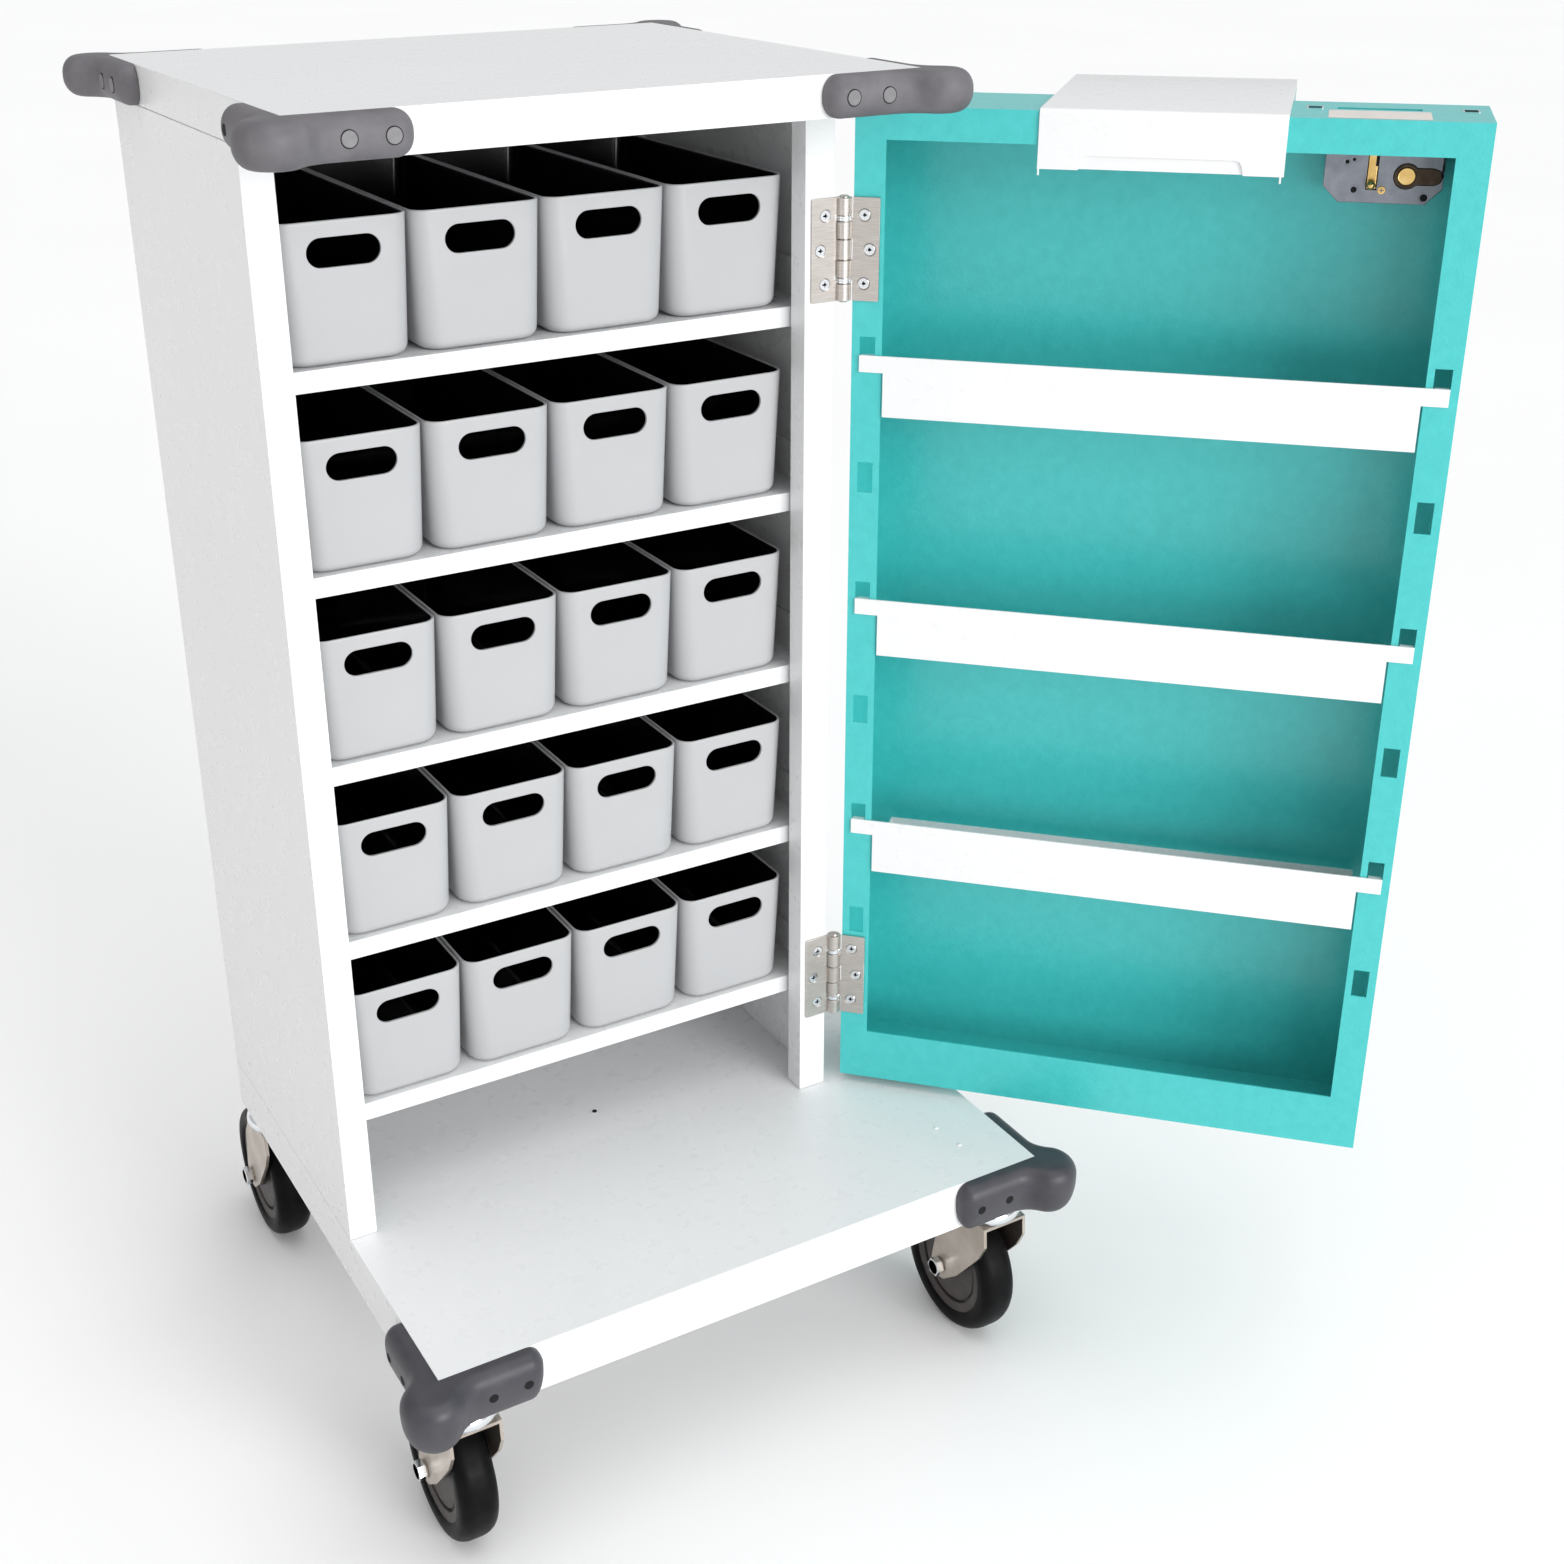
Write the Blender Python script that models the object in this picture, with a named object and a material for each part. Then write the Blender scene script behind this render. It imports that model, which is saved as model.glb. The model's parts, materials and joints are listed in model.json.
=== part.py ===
"""A medicine cabinet on four castors, with twenty bins on five shelves and one deep hinged door.

Lengths are in metres and +Z is up. The cabinet's own frame has its origin on the floor, below the
front left corner of the base platform: +X runs to the right along the front, +Y runs to the back.
Everything hangs from one empty, which puts the middle of the whole outline over the world's origin.
The door's pieces are drawn in the door's frame: x runs from the hinge pin to the free edge, y runs
from the pin through the door's depth, and z is the height above the floor.
"""
import math

import bmesh
import bpy
from mathutils import Matrix, Vector

GAP = 0.0003
SHEET = 0.0015
MIDDLE = Vector((0.39840, 0.21222, 0.0))

# base platform and castors
BASE_WIDTH = 0.535
BASE_DEPTH = 0.482
CASTOR_HEIGHT = 0.155
BASE_HEIGHT = 0.044
BASE_SHEET = 0.002
BASE_TOP = CASTOR_HEIGHT + BASE_HEIGHT
WHEEL_RADIUS = 0.0625
WHEEL_WIDTH = 0.032
TRAIL = 0.036
CASTOR_X = (0.026, BASE_WIDTH - 0.026)
CASTOR_Y = (0.026, 0.460)
HEAD_RADIUS = 0.028
HEAD_HEIGHT = 0.0155
STEM_RADIUS = 0.006
FORK_HALF = 0.0215
FORK_SHEET = 0.0028
AXLE_RADIUS = 0.004

# carcass and cap
CARCASS_WIDTH = 0.441
CARCASS_FRONT = 0.183
LEFT_POST = 0.0225
RIGHT_POST = 0.025
POST_RETURN = 0.020
CARCASS_HEIGHT = 0.8415
CAP_BOTTOM = BASE_TOP + CARCASS_HEIGHT
CAP_HEIGHT = 0.0285
CAP_WIDTH = 0.450
CAP_FRONT = 0.0886
CAP_BACK = 0.484
BUMPER_REACH = 0.080
BUMPER_DEPTH = 0.015
BUMPER_BULGE = 0.024
BULGE_OFFSET = 0.008

# shelves and bins
SHELF_TOPS = [BASE_TOP + 0.105 + 0.146 * row for row in (4, 3, 2, 1, 0)]
SHELF_FRONT = 0.206
SHELF_BACK = 0.480
SHELF_LIP = 0.0153
SHELF_FLANGE = 0.030
BIN_COLUMNS = 4
BIN_PITCH = 0.098
BIN_TOP_WIDTH = 0.0965
BIN_BOTTOM_WIDTH = 0.091
BIN_LENGTH = 0.262
BIN_TAPER = 0.004
BIN_HEIGHT = 0.097
BIN_WALL = 0.0022
BIN_CORNER = 0.012
HAND_HOLE = (0.052, 0.020)
HAND_HOLE_DROP = 0.010

# door and hinges
PIN_X = CARCASS_WIDTH + 0.0068
PIN_Y = CARCASS_FRONT - 0.0025
DOOR_HEADING = math.radians(-45.2)
DOOR_START = 0.0068
DOOR_WIDTH = 0.439
DOOR_END = DOOR_START + DOOR_WIDTH
RIM_FACE = 0.0025
DOOR_DEPTH = 0.092
DOOR_BACK = RIM_FACE + DOOR_DEPTH
DOOR_BOTTOM = BASE_TOP + 0.0083
DOOR_TOP = BASE_TOP + 0.8356
SIDE_RIM = 0.0232
TOP_RIM = 0.0235
BOTTOM_RIM = 0.0467
SLOT_SIZE = (0.012, 0.024)
SLOT_EDGE = 0.0061
SLOT_TOP_MIDDLE = BASE_TOP + 0.6557
SLOT_PITCH = 0.098
SLOT_COUNT = 6
HINGE_HEIGHT = 0.0762
HINGE_MIDDLES = {"upper": BASE_TOP + 0.733, "lower": BASE_TOP + 0.1115}
KNUCKLE_RADIUS = 0.006
PIN_RADIUS = 0.0025
LEAF_NEAR = 0.0004
LEAF_FAR = 0.0022
LEAF_REACH = 0.027
KNUCKLES = 5

# what hangs on the door
TRAY_START = 0.0315
TRAY_END = 0.421
TRAY_TOPS = [BASE_TOP + 0.6538 - 0.196 * row for row in (0, 1, 2)]
TRAY_STRIP = 0.047
TRAY_DEPTH = 0.080
TRAY_UPSTAND = 0.012
HOOK_HEIGHT = 0.013
HOOK_START = 0.0130
TONGUE_WIDTH = 0.010
HOLDER_START = 0.140
HOLDER_END = 0.311
HOLDER_LIP = 0.040
HOLDER_REACH = 0.214
HOLDER_DROP = 0.020

# lock
CASE_START = 0.3377
CASE_END = 0.4195
CASE_FRONT = 0.0560
CASE_DEPTH = 0.0367
CASE_BOTTOM = BASE_TOP + 0.7714
CASE_CHAMFER = 0.011
BOLT_MIDDLE = 0.3709
BOLT_WIDTH = 0.0066
BOLT_DEPTH = 0.0080
BOLT_BOTTOM = BASE_TOP + 0.7812
BOLT_SLOT = (0.0574, 0.009)
CATCH_HOLES = (0.327, 0.4322)
CYLINDER_MIDDLE = (0.3943, BASE_TOP + 0.7908)
CYLINDER_RADIUS = 0.0086
CYLINDER_BAR = 0.0110
CYLINDER_REACH = 0.0240
PLUG_RADIUS = 0.0062
PLUG_LENGTH = 0.014


# ---------------------------------------------------------------- meshes

def finished(shape, name):
    """Turns a bmesh into a mesh whose faces point out."""
    bmesh.ops.recalc_face_normals(shape, faces=shape.faces[:])
    mesh = bpy.data.meshes.new(name)
    shape.to_mesh(mesh)
    shape.free()
    return mesh


def loft(loops, name="loft"):
    """Joins rings of equal length in order, and fills the first and the last."""
    shape = bmesh.new()
    rings = [[shape.verts.new(point) for point in loop] for loop in loops]
    count = len(rings[0])
    for lower, upper in zip(rings, rings[1:]):
        for i in range(count):
            j = (i + 1) % count
            shape.faces.new((lower[i], lower[j], upper[j], upper[i]))
    shape.faces.new(rings[0])
    shape.faces.new(rings[-1])
    return finished(shape, name)


def box(x0, x1, y0, y1, z0, z1):
    corners = [(x0, y0), (x1, y0), (x1, y1), (x0, y1)]
    return prism(corners, "Z", z0, z1)


def prism(outline, axis, start, end):
    """Extrudes an outline. Its pairs are (x, y) along Z, (x, z) along Y and (y, z) along X."""
    place = {
        "X": lambda p, h: Vector((h, p[0], p[1])),
        "Y": lambda p, h: Vector((p[0], h, p[1])),
        "Z": lambda p, h: Vector((p[0], p[1], h)),
    }[axis]
    return loft([[place(p, start) for p in outline], [place(p, end) for p in outline]], "prism")


def turned(profile, segments, axis="Z"):
    """Turns a profile of (radius, height) about an axis. It starts and ends on the axis,
    or it closes on itself round a bore."""
    shape = bmesh.new()
    rings = []
    for radius, height in profile:
        steps = segments if radius > 0 else 1
        ring = []
        for i in range(steps):
            angle = math.tau * i / segments
            across, along = radius * math.cos(angle), radius * math.sin(angle)
            point = (height, across, along) if axis == "X" else (across, along, height)
            if axis == "Y":
                point = (across, height, along)
            ring.append(shape.verts.new(point))
        rings.append(ring)
    pairs = list(zip(rings, rings[1:]))
    if profile[0][0] > 0:
        pairs.append((rings[-1], rings[0]))
    for lower, upper in pairs:
        for i in range(segments):
            j = (i + 1) % segments
            corners = [lower[i % len(lower)], lower[j % len(lower)],
                       upper[j % len(upper)], upper[i % len(upper)]]
            corners = list(dict.fromkeys(corners))
            if len(corners) > 2:
                shape.faces.new(corners)
    return finished(shape, "turned")


def moved(mesh, offset):
    mesh.transform(Matrix.Translation(Vector(offset)))
    return mesh


def combined(first, second, operation):
    """Bakes one Boolean of two meshes and drops both."""
    target = bpy.data.objects.new("target", first)
    tool = bpy.data.objects.new("tool", second)
    for thing in (target, tool):
        bpy.context.scene.collection.objects.link(thing)
    step = target.modifiers.new("step", "BOOLEAN")
    step.operation = operation
    step.solver = "EXACT"
    step.object = tool
    graph = bpy.context.evaluated_depsgraph_get()
    graph.update()
    result = bpy.data.meshes.new_from_object(target.evaluated_get(graph))
    for thing in (target, tool):
        bpy.data.objects.remove(thing)
    for mesh in (first, second):
        bpy.data.meshes.remove(mesh)
    return result


def cut(mesh, *tools):
    for tool in tools:
        mesh = combined(mesh, tool, "DIFFERENCE")
    return mesh


def joined(mesh, *others):
    for other in others:
        mesh = combined(mesh, other, "UNION")
    return mesh


def rounded_corners(width, depth, radius, steps=3):
    """A rectangle about the origin with round corners, anticlockwise."""
    points = []
    for quarter in range(4):
        middle_x = (width / 2 - radius) * (1 if quarter in (0, 3) else -1)
        middle_y = (depth / 2 - radius) * (1 if quarter in (0, 1) else -1)
        for i in range(steps + 1):
            angle = math.pi / 2 * (quarter + i / steps)
            points.append((middle_x + radius * math.cos(angle), middle_y + radius * math.sin(angle)))
    return points


def arc(middle, radius, start, end, steps):
    """Points on an arc, angles in degrees."""
    angles = [math.radians(start + (end - start) * i / steps) for i in range(steps + 1)]
    return [(middle[0] + radius * math.cos(a), middle[1] + radius * math.sin(a)) for a in angles]


# ---------------------------------------------------------------- objects

def material(name, colour, roughness, metallic=0.0):
    surface = bpy.data.materials.new(name)
    surface.use_nodes = True
    shader = surface.node_tree.nodes["Principled BSDF"]
    shader.inputs["Base Color"].default_value = (*colour, 1.0)
    shader.inputs["Roughness"].default_value = roughness
    shader.inputs["Metallic"].default_value = metallic
    surface.diffuse_color = (*colour, 1.0)
    return surface


def empty(name, location, parent=None, heading=0.0):
    guide = bpy.data.objects.new(name, None)
    guide.location = location
    guide.rotation_euler = (0.0, 0.0, heading)
    guide.parent = parent
    bpy.context.scene.collection.objects.link(guide)
    return guide


def add(name, mesh, surface, parent, location=(0.0, 0.0, 0.0), smooth=False):
    """Adds one sub-part. Its mesh is drawn about its own origin."""
    piece = bpy.data.objects.new(name, mesh)
    mesh.name = name
    piece.location = location
    piece.parent = parent
    bpy.context.scene.collection.objects.link(piece)
    if not mesh.materials:
        mesh.materials.append(surface)
    if smooth:
        mesh.shade_smooth()
        mesh.set_sharp_from_angle(angle=math.radians(35))
    return piece


# ---------------------------------------------------------------- base, carcass and cap

def folded_pan(x0, x1, y0, y1, z0, z1, sheet):
    """A closed tin of thin sheet: the openings cut into it make it one open skin."""
    outer = box(x0, x1, y0, y1, z0, z1)
    inner = box(x0 + sheet, x1 - sheet, y0 + sheet, y1 - sheet, z0 + sheet, z1 - sheet)
    return cut(outer, inner)


def base_platform():
    """A folded tray, open below but for a flange and a gusset plate over each castor."""
    flange, gusset = 0.020, 0.110
    z0 = CASTOR_HEIGHT
    below, above = z0 - 0.002, z0 + 2 * BASE_SHEET
    pan = folded_pan(0, BASE_WIDTH, 0, BASE_DEPTH, z0, BASE_TOP, BASE_SHEET)
    lengthwise = box(gusset, BASE_WIDTH - gusset, flange, BASE_DEPTH - flange, below, above)
    crosswise = box(flange, BASE_WIDTH - flange, gusset, BASE_DEPTH - gusset, below, above)
    stems = [moved(turned([(0, below), (0.0065, below), (0.0065, above), (0, above)], 16), (x, y, 0))
             for x in CASTOR_X for y in CASTOR_Y]
    return cut(pan, lengthwise, crosswise, *stems)


def carcass():
    """Sides, back and front posts, folded from one sheet."""
    s = SHEET
    right = CARCASS_WIDTH
    front = CARCASS_FRONT
    back = BASE_DEPTH
    fold = front + POST_RETURN
    outline = [
        (LEFT_POST - s, fold), (LEFT_POST - s, front + s), (s, front + s), (s, back - s),
        (right - s, back - s), (right - s, front + s), (right - RIGHT_POST + s, front + s),
        (right - RIGHT_POST + s, fold), (right - RIGHT_POST, fold), (right - RIGHT_POST, front),
        (right, front), (right, back), (0, back), (0, front), (LEFT_POST, front), (LEFT_POST, fold),
    ]
    return prism(outline, "Z", BASE_TOP + GAP, CAP_BOTTOM - GAP)


def top_cap():
    """A shallow folded lid. Its underside is open over the carcass and has a keep for the bolt."""
    sheet = 0.0018
    bottom = CAP_BOTTOM
    pan = folded_pan(0, CAP_WIDTH, CAP_FRONT, CAP_BACK, bottom, bottom + CAP_HEIGHT, sheet)
    low, high = bottom - 0.002, bottom + 2 * sheet
    over_carcass = box(0.026, 0.414, 0.212, 0.460, low, high)
    keep_x = PIN_X - BOLT_MIDDLE
    keep_y = PIN_Y - CASE_FRONT - BOLT_DEPTH / 2
    keep = box(keep_x - 0.008, keep_x + 0.008, keep_y - 0.008, keep_y + 0.008, low, high)
    return cut(pan, over_carcass, keep)


def bumper_ring(depth, height, reach):
    """One level of a corner bumper about the corner of a panel that fills +x and +y."""
    bulge = BUMPER_BULGE - (BUMPER_DEPTH - depth)
    middle = (-BULGE_OFFSET, -BULGE_OFFSET)
    touch = math.degrees(math.asin((depth - BULGE_OFFSET) / bulge))
    outer = arc(middle, bulge, -touch, -270 + touch, 7)
    return [(0, 0, height), (reach, 0, height), (reach, -depth, height)] + [
        (x, y, height) for x, y in outer] + [(-depth, reach, height), (0, reach, height)]


def corner_bumper(height, squash):
    """A rubber L with a round outer face. squash is how far its edges are rounded."""
    levels = (0.0, 0.25, 0.6, 1.0)
    rings = []
    for level in levels:
        angle = math.pi / 2 * level
        inset = squash * (1 - math.sin(angle))
        drop = squash * (1 - math.cos(angle))
        rings.append(bumper_ring(BUMPER_DEPTH - inset, drop, BUMPER_REACH - inset / 2))
    mirrored = [[(x, y, height - z) for x, y, z in ring] for ring in reversed(rings)]
    return loft(rings + mirrored, "bumper")


def turn_quarter(mesh, quarters):
    mesh.transform(Matrix.Rotation(math.pi / 2 * quarters, 4, "Z"))
    return mesh


def bumpers(parent, rubber):
    """Four on the cap and two on the front of the base."""
    clear = GAP
    low, high = CAP_BOTTOM, CAP_HEIGHT
    places = {
        "bumper_top_front_left": (-clear, CAP_FRONT - clear, low, high, 0),
        "bumper_top_front_right": (CAP_WIDTH + clear, CAP_FRONT - clear, low, high, 1),
        "bumper_top_back_right": (CAP_WIDTH + clear, CAP_BACK + clear, low, high, 2),
        "bumper_top_back_left": (-clear, CAP_BACK + clear, low, high, 3),
        "bumper_base_front_left": (-clear, -clear, CASTOR_HEIGHT, BASE_HEIGHT, 0),
        "bumper_base_front_right": (BASE_WIDTH + clear, -clear, CASTOR_HEIGHT, BASE_HEIGHT, 1),
    }
    for name, (x, y, z, height, quarters) in places.items():
        mesh = turn_quarter(corner_bumper(height, 0.008), quarters)
        add(name, mesh, rubber, parent, (x, y, z), smooth=True)


# ---------------------------------------------------------------- castors

def castor_head():
    """Raceway cap with the threaded stem that holds the castor to the base."""
    top, r = -GAP, HEAD_RADIUS
    profile = [
        (0, 0.014), (STEM_RADIUS, 0.014), (STEM_RADIUS, top), (r - 0.005, top), (r, top - 0.006),
        (r, top - 0.012), (r - 0.002, -HEAD_HEIGHT), (0, -HEAD_HEIGHT),
    ]
    return turned(profile, 20)


def castor_fork():
    """Crown, two tapered cheeks and the axle bolt, drawn about the swivel axis at the base."""
    top = -HEAD_HEIGHT - 0.0005
    crown_low = top - FORK_SHEET
    axle = (TRAIL, WHEEL_RADIUS - CASTOR_HEIGHT)
    boss = 0.013
    cheek = [(-0.024, top), (-0.0255, top - 0.018), (-0.018, top - 0.034), (0.012, axle[1] + 0.004)]
    cheek += arc(axle, boss, 215, 380, 6)
    cheek += [(0.040, top - 0.030), (0.026, top - 0.008), (0.024, top)]
    crown = box(-FORK_HALF, FORK_HALF, -0.024, 0.024, crown_low, top)
    left = prism(cheek, "X", -FORK_HALF, -FORK_HALF + FORK_SHEET)
    right = prism(cheek, "X", FORK_HALF - FORK_SHEET, FORK_HALF)
    end = FORK_HALF + 0.0075
    bolt = turned([(0, -end), (0.0065, -end), (0.0065, -FORK_HALF + 0.0005), (AXLE_RADIUS, -FORK_HALF + 0.0005),
                   (AXLE_RADIUS, FORK_HALF - 0.0005), (0.0065, FORK_HALF - 0.0005), (0.0065, end), (0, end)],
                  12, "X")
    return joined(crown, left, right, moved(bolt, (0, axle[0], axle[1])))


def castor_wheel():
    """Grooved hub and rounded tyre about the axle."""
    half = WHEEL_WIDTH / 2
    bore = AXLE_RADIUS + 0.0004
    side = [
        (bore, 0.0175), (0.012, 0.0175), (0.014, 0.0125), (0.044, 0.0125), (0.048, half),
        (0.056, half - 0.0015), (0.0605, half - 0.006), (WHEEL_RADIUS, half - 0.011),
    ]
    profile = side + [(r, -h) for r, h in reversed(side)]
    return turned(profile, 28, "X")


def castors(parent, zinc, steel, tyre):
    names = {(0, 0): "front_left", (1, 0): "front_right", (0, 1): "back_left", (1, 1): "back_right"}
    for (column, row), place in names.items():
        swivel = empty(f"{place}_swivel_axis", (CASTOR_X[column], CASTOR_Y[row], CASTOR_HEIGHT), parent)
        add(f"castor_{place}_head", castor_head(), zinc, swivel, smooth=True)
        add(f"castor_{place}_fork", castor_fork(), steel, swivel, smooth=True)
        axle = (0, TRAIL, WHEEL_RADIUS - CASTOR_HEIGHT)
        add(f"castor_{place}_wheel", castor_wheel(), tyre, swivel, axle, smooth=True)


# ---------------------------------------------------------------- shelves and bins

def shelf():
    """A plate with a lip turned down in front and a flange turned up at each end."""
    x0, x1 = SHEET + 0.0005, CARCASS_WIDTH - SHEET - 0.0005
    y0, y1 = SHELF_FRONT, SHELF_BACK
    plate = box(x0, x1, y0, y1, -SHEET, 0)
    lip = box(x0, x1, y0, y0 + SHEET, -SHELF_LIP, -SHEET / 2)
    curve = 0.012
    front = y0 + SHEET
    side = [(y1, -SHEET / 2), (y1, SHELF_FLANGE)]
    side += arc((front + curve, SHELF_FLANGE - curve), curve, 90, 180, 4)
    side += [(front, -SHEET / 2)]
    ends = [prism(side, "X", x0, x0 + SHEET), prism(side, "X", x1 - SHEET, x1)]
    return joined(plate, lip, *ends)


def bin_mesh():
    """A tapered tub with round corners, a hand hole in front and its origin at the front foot."""
    top = (BIN_TOP_WIDTH, BIN_LENGTH, BIN_HEIGHT, BIN_CORNER)
    foot = (BIN_BOTTOM_WIDTH, BIN_LENGTH - BIN_TAPER, 0.0, BIN_CORNER - 0.002)
    rings = []
    for width, depth, height, radius in (foot, top):
        rings.append([(x, y, height) for x, y in rounded_corners(width, depth, radius)])
    for width, depth, height, radius in (top, foot):
        thin = 2 * BIN_WALL
        level = height if height else BIN_WALL
        ring = rounded_corners(width - thin, depth - thin, radius - BIN_WALL)
        rings.append([(x, y, level) for x, y in ring])
    tub = moved(loft(rings, "bin"), (0, BIN_LENGTH / 2, 0))
    half, radius = HAND_HOLE[0] / 2 - HAND_HOLE[1] / 2, HAND_HOLE[1] / 2
    height = BIN_HEIGHT - HAND_HOLE_DROP - radius
    outline = arc((half, height), radius, -90, 90, 5) + arc((-half, height), radius, 90, 270, 5)
    return cut(tub, prism(outline, "Y", -0.01, 0.02))


def shelves_and_bins(parent, painted, plastic):
    tub = bin_mesh()
    middle = (LEFT_POST + CARCASS_WIDTH - RIGHT_POST) / 2
    for row, level in enumerate(SHELF_TOPS, start=1):
        add(f"shelf_{row}", shelf(), painted, parent, (0, 0, level))
        for column in range(BIN_COLUMNS):
            x = middle + BIN_PITCH * (column - (BIN_COLUMNS - 1) / 2)
            name = f"bin_{row}_{column + 1}"
            place = (x, SHELF_FRONT + 0.001, level + GAP)
            add(name, tub.copy(), plastic, parent, place, smooth=True)
    bpy.data.meshes.remove(tub)


# ---------------------------------------------------------------- door

def keyhole(radius, bar, reach):
    """Profile of the lock cylinder, lying on its side towards the free edge."""
    x, z = CYLINDER_MIDDLE
    half = bar / 2
    meet = math.degrees(math.asin(half / radius))
    outline = arc((x, z), radius, meet, 360 - meet, 12)
    end = x + reach
    return outline + arc((end - half, z), half, -90, 90, 4)


def door_pan():
    """A deep folded pan with a rim all round its open side, twelve tray slots and the lock's holes."""
    pan = folded_pan(DOOR_START, DOOR_END, RIM_FACE, DOOR_BACK, DOOR_BOTTOM, DOOR_TOP, SHEET)
    near, far = RIM_FACE - 0.002, RIM_FACE + 2 * SHEET
    mouth = box(DOOR_START + SIDE_RIM, DOOR_END - SIDE_RIM, near, far,
                DOOR_BOTTOM + BOTTOM_RIM, DOOR_TOP - TOP_RIM)
    width, height = SLOT_SIZE
    slots = []
    for number in range(SLOT_COUNT):
        middle = SLOT_TOP_MIDDLE - SLOT_PITCH * number
        for left in (DOOR_START + SLOT_EDGE, DOOR_END - SLOT_EDGE - width):
            slots.append(box(left, left + width, near, far, middle - height / 2, middle + height / 2))
    low, high = DOOR_TOP - 2 * SHEET, DOOR_TOP + 0.002
    bolt_y = CASE_FRONT + BOLT_DEPTH / 2
    half_x, half_y = BOLT_SLOT[0] / 2, BOLT_SLOT[1] / 2
    bolt_slot = box(BOLT_MIDDLE - half_x, BOLT_MIDDLE + half_x, bolt_y - half_y, bolt_y + half_y, low, high)
    squares = [box(x - 0.0048, x + 0.0048, bolt_y - 0.006, bolt_y + 0.006, low, high) for x in CATCH_HOLES]
    clear = GAP
    barrel = prism(keyhole(CYLINDER_RADIUS + clear, CYLINDER_BAR + 2 * clear, CYLINDER_REACH + clear),
                   "Y", DOOR_BACK - 2 * SHEET, DOOR_BACK + 0.002)
    return cut(pan, mouth, *slots, bolt_slot, *squares, barrel)


def door_tray():
    """Front strip, floor and low back with a hook at each end. z is measured from the strip's top."""
    front, back = RIM_FACE - 0.0018, RIM_FACE - GAP
    floor = -TRAY_STRIP
    deep = back + TRAY_DEPTH
    profile = [
        (front, 0), (front, floor), (deep, floor), (deep, floor + TRAY_UPSTAND),
        (deep - SHEET, floor + TRAY_UPSTAND), (deep - SHEET, floor + SHEET), (back, floor + SHEET), (back, 0),
    ]
    body = prism(profile, "X", TRAY_START, TRAY_END)
    low = floor + SHEET / 2
    pieces = []
    for x in (TRAY_START, TRAY_END - SHEET):
        pieces.append(box(x, x + SHEET, back - 0.0005, deep - SHEET / 2, low, floor + TRAY_UPSTAND))
    other_end = DOOR_START + DOOR_END - HOOK_START
    for x0, x1 in ((HOOK_START, TRAY_START + 0.002), (TRAY_END - 0.002, other_end)):
        pieces.append(box(x0, x1, front, back, -HOOK_HEIGHT, 0))
    tongue_high = -0.0005
    for x in (HOOK_START + 0.0006, other_end - 0.0006 - TONGUE_WIDTH):
        pieces.append(box(x, x + TONGUE_WIDTH, front + SHEET / 2, RIM_FACE + 0.005, -0.0095, tongue_high))
    return joined(body, *pieces)


def document_holder():
    """A bent plate that hooks over the top of the door and reaches out beyond it."""
    front, back = RIM_FACE - 0.0018, RIM_FACE - GAP
    under, over = DOOR_TOP + GAP, DOOR_TOP + GAP + SHEET
    far = RIM_FACE + HOLDER_REACH
    profile = [
        (front, over), (front, DOOR_TOP - HOLDER_LIP), (back, DOOR_TOP - HOLDER_LIP), (back, under),
        (far - SHEET, under), (far - SHEET, over - HOLDER_DROP), (far, over - HOLDER_DROP), (far, over),
    ]
    return prism(profile, "X", HOLDER_START, HOLDER_END)


def hinge_leaf(side, rows, bored):
    """One leaf with its knuckles. side is -1 for the leaf that runs to -x and 1 for +x."""
    pitch = HINGE_HEIGHT / KNUCKLES
    bottom = -HINGE_HEIGHT / 2
    clear = DOOR_START

    def slab(near, far, z0, z1):
        x0, x1 = sorted((side * near, side * far))
        return box(x0, x1, LEAF_NEAR, LEAF_FAR, z0, z1)

    leaf = slab(clear, LEAF_REACH, bottom, -bottom)
    for row in rows:
        z0 = bottom + pitch * row + (GAP / 2 if row else 0)
        z1 = bottom + pitch * (row + 1) - (GAP / 2 if row < KNUCKLES - 1 else 0)
        knuckle = turned([(0, z0), (KNUCKLE_RADIUS, z0), (KNUCKLE_RADIUS, z1), (0, z1)], 14)
        leaf = joined(leaf, knuckle, slab(0.001, clear + 0.001, z0, z1))
    if bored:
        radius = PIN_RADIUS + GAP
        low, high = bottom - 0.001, 0.001 - bottom
        return cut(leaf, turned([(0, low), (radius, low), (radius, high), (0, high)], 12))
    low, high = bottom - 0.001, 0.001 - bottom
    return joined(leaf, turned([(0, low), (PIN_RADIUS, low), (PIN_RADIUS, high), (0, high)], 12))


def lock_case():
    """A flat case with cut lower corners, a channel for the bolt and a hole for the cylinder."""
    top = DOOR_TOP - SHEET - GAP
    c = CASE_CHAMFER
    outline = [
        (CASE_START, top), (CASE_START, CASE_BOTTOM + c), (CASE_START + c, CASE_BOTTOM),
        (CASE_END - c, CASE_BOTTOM), (CASE_END, CASE_BOTTOM + c), (CASE_END, top),
    ]
    case = prism(outline, "Y", CASE_FRONT, CASE_FRONT + CASE_DEPTH)
    half = BOLT_WIDTH / 2 + GAP
    channel = box(BOLT_MIDDLE - half, BOLT_MIDDLE + half, CASE_FRONT - 0.002,
                  CASE_FRONT + BOLT_DEPTH + GAP, BOLT_BOTTOM - GAP, top + 0.002)
    hole = keyhole(CYLINDER_RADIUS + GAP, CYLINDER_BAR + 2 * GAP, CYLINDER_REACH + GAP)
    through = prism(hole, "Y", CASE_FRONT - 0.002, CASE_FRONT + CASE_DEPTH + 0.002)
    return cut(case, channel, through)


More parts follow.
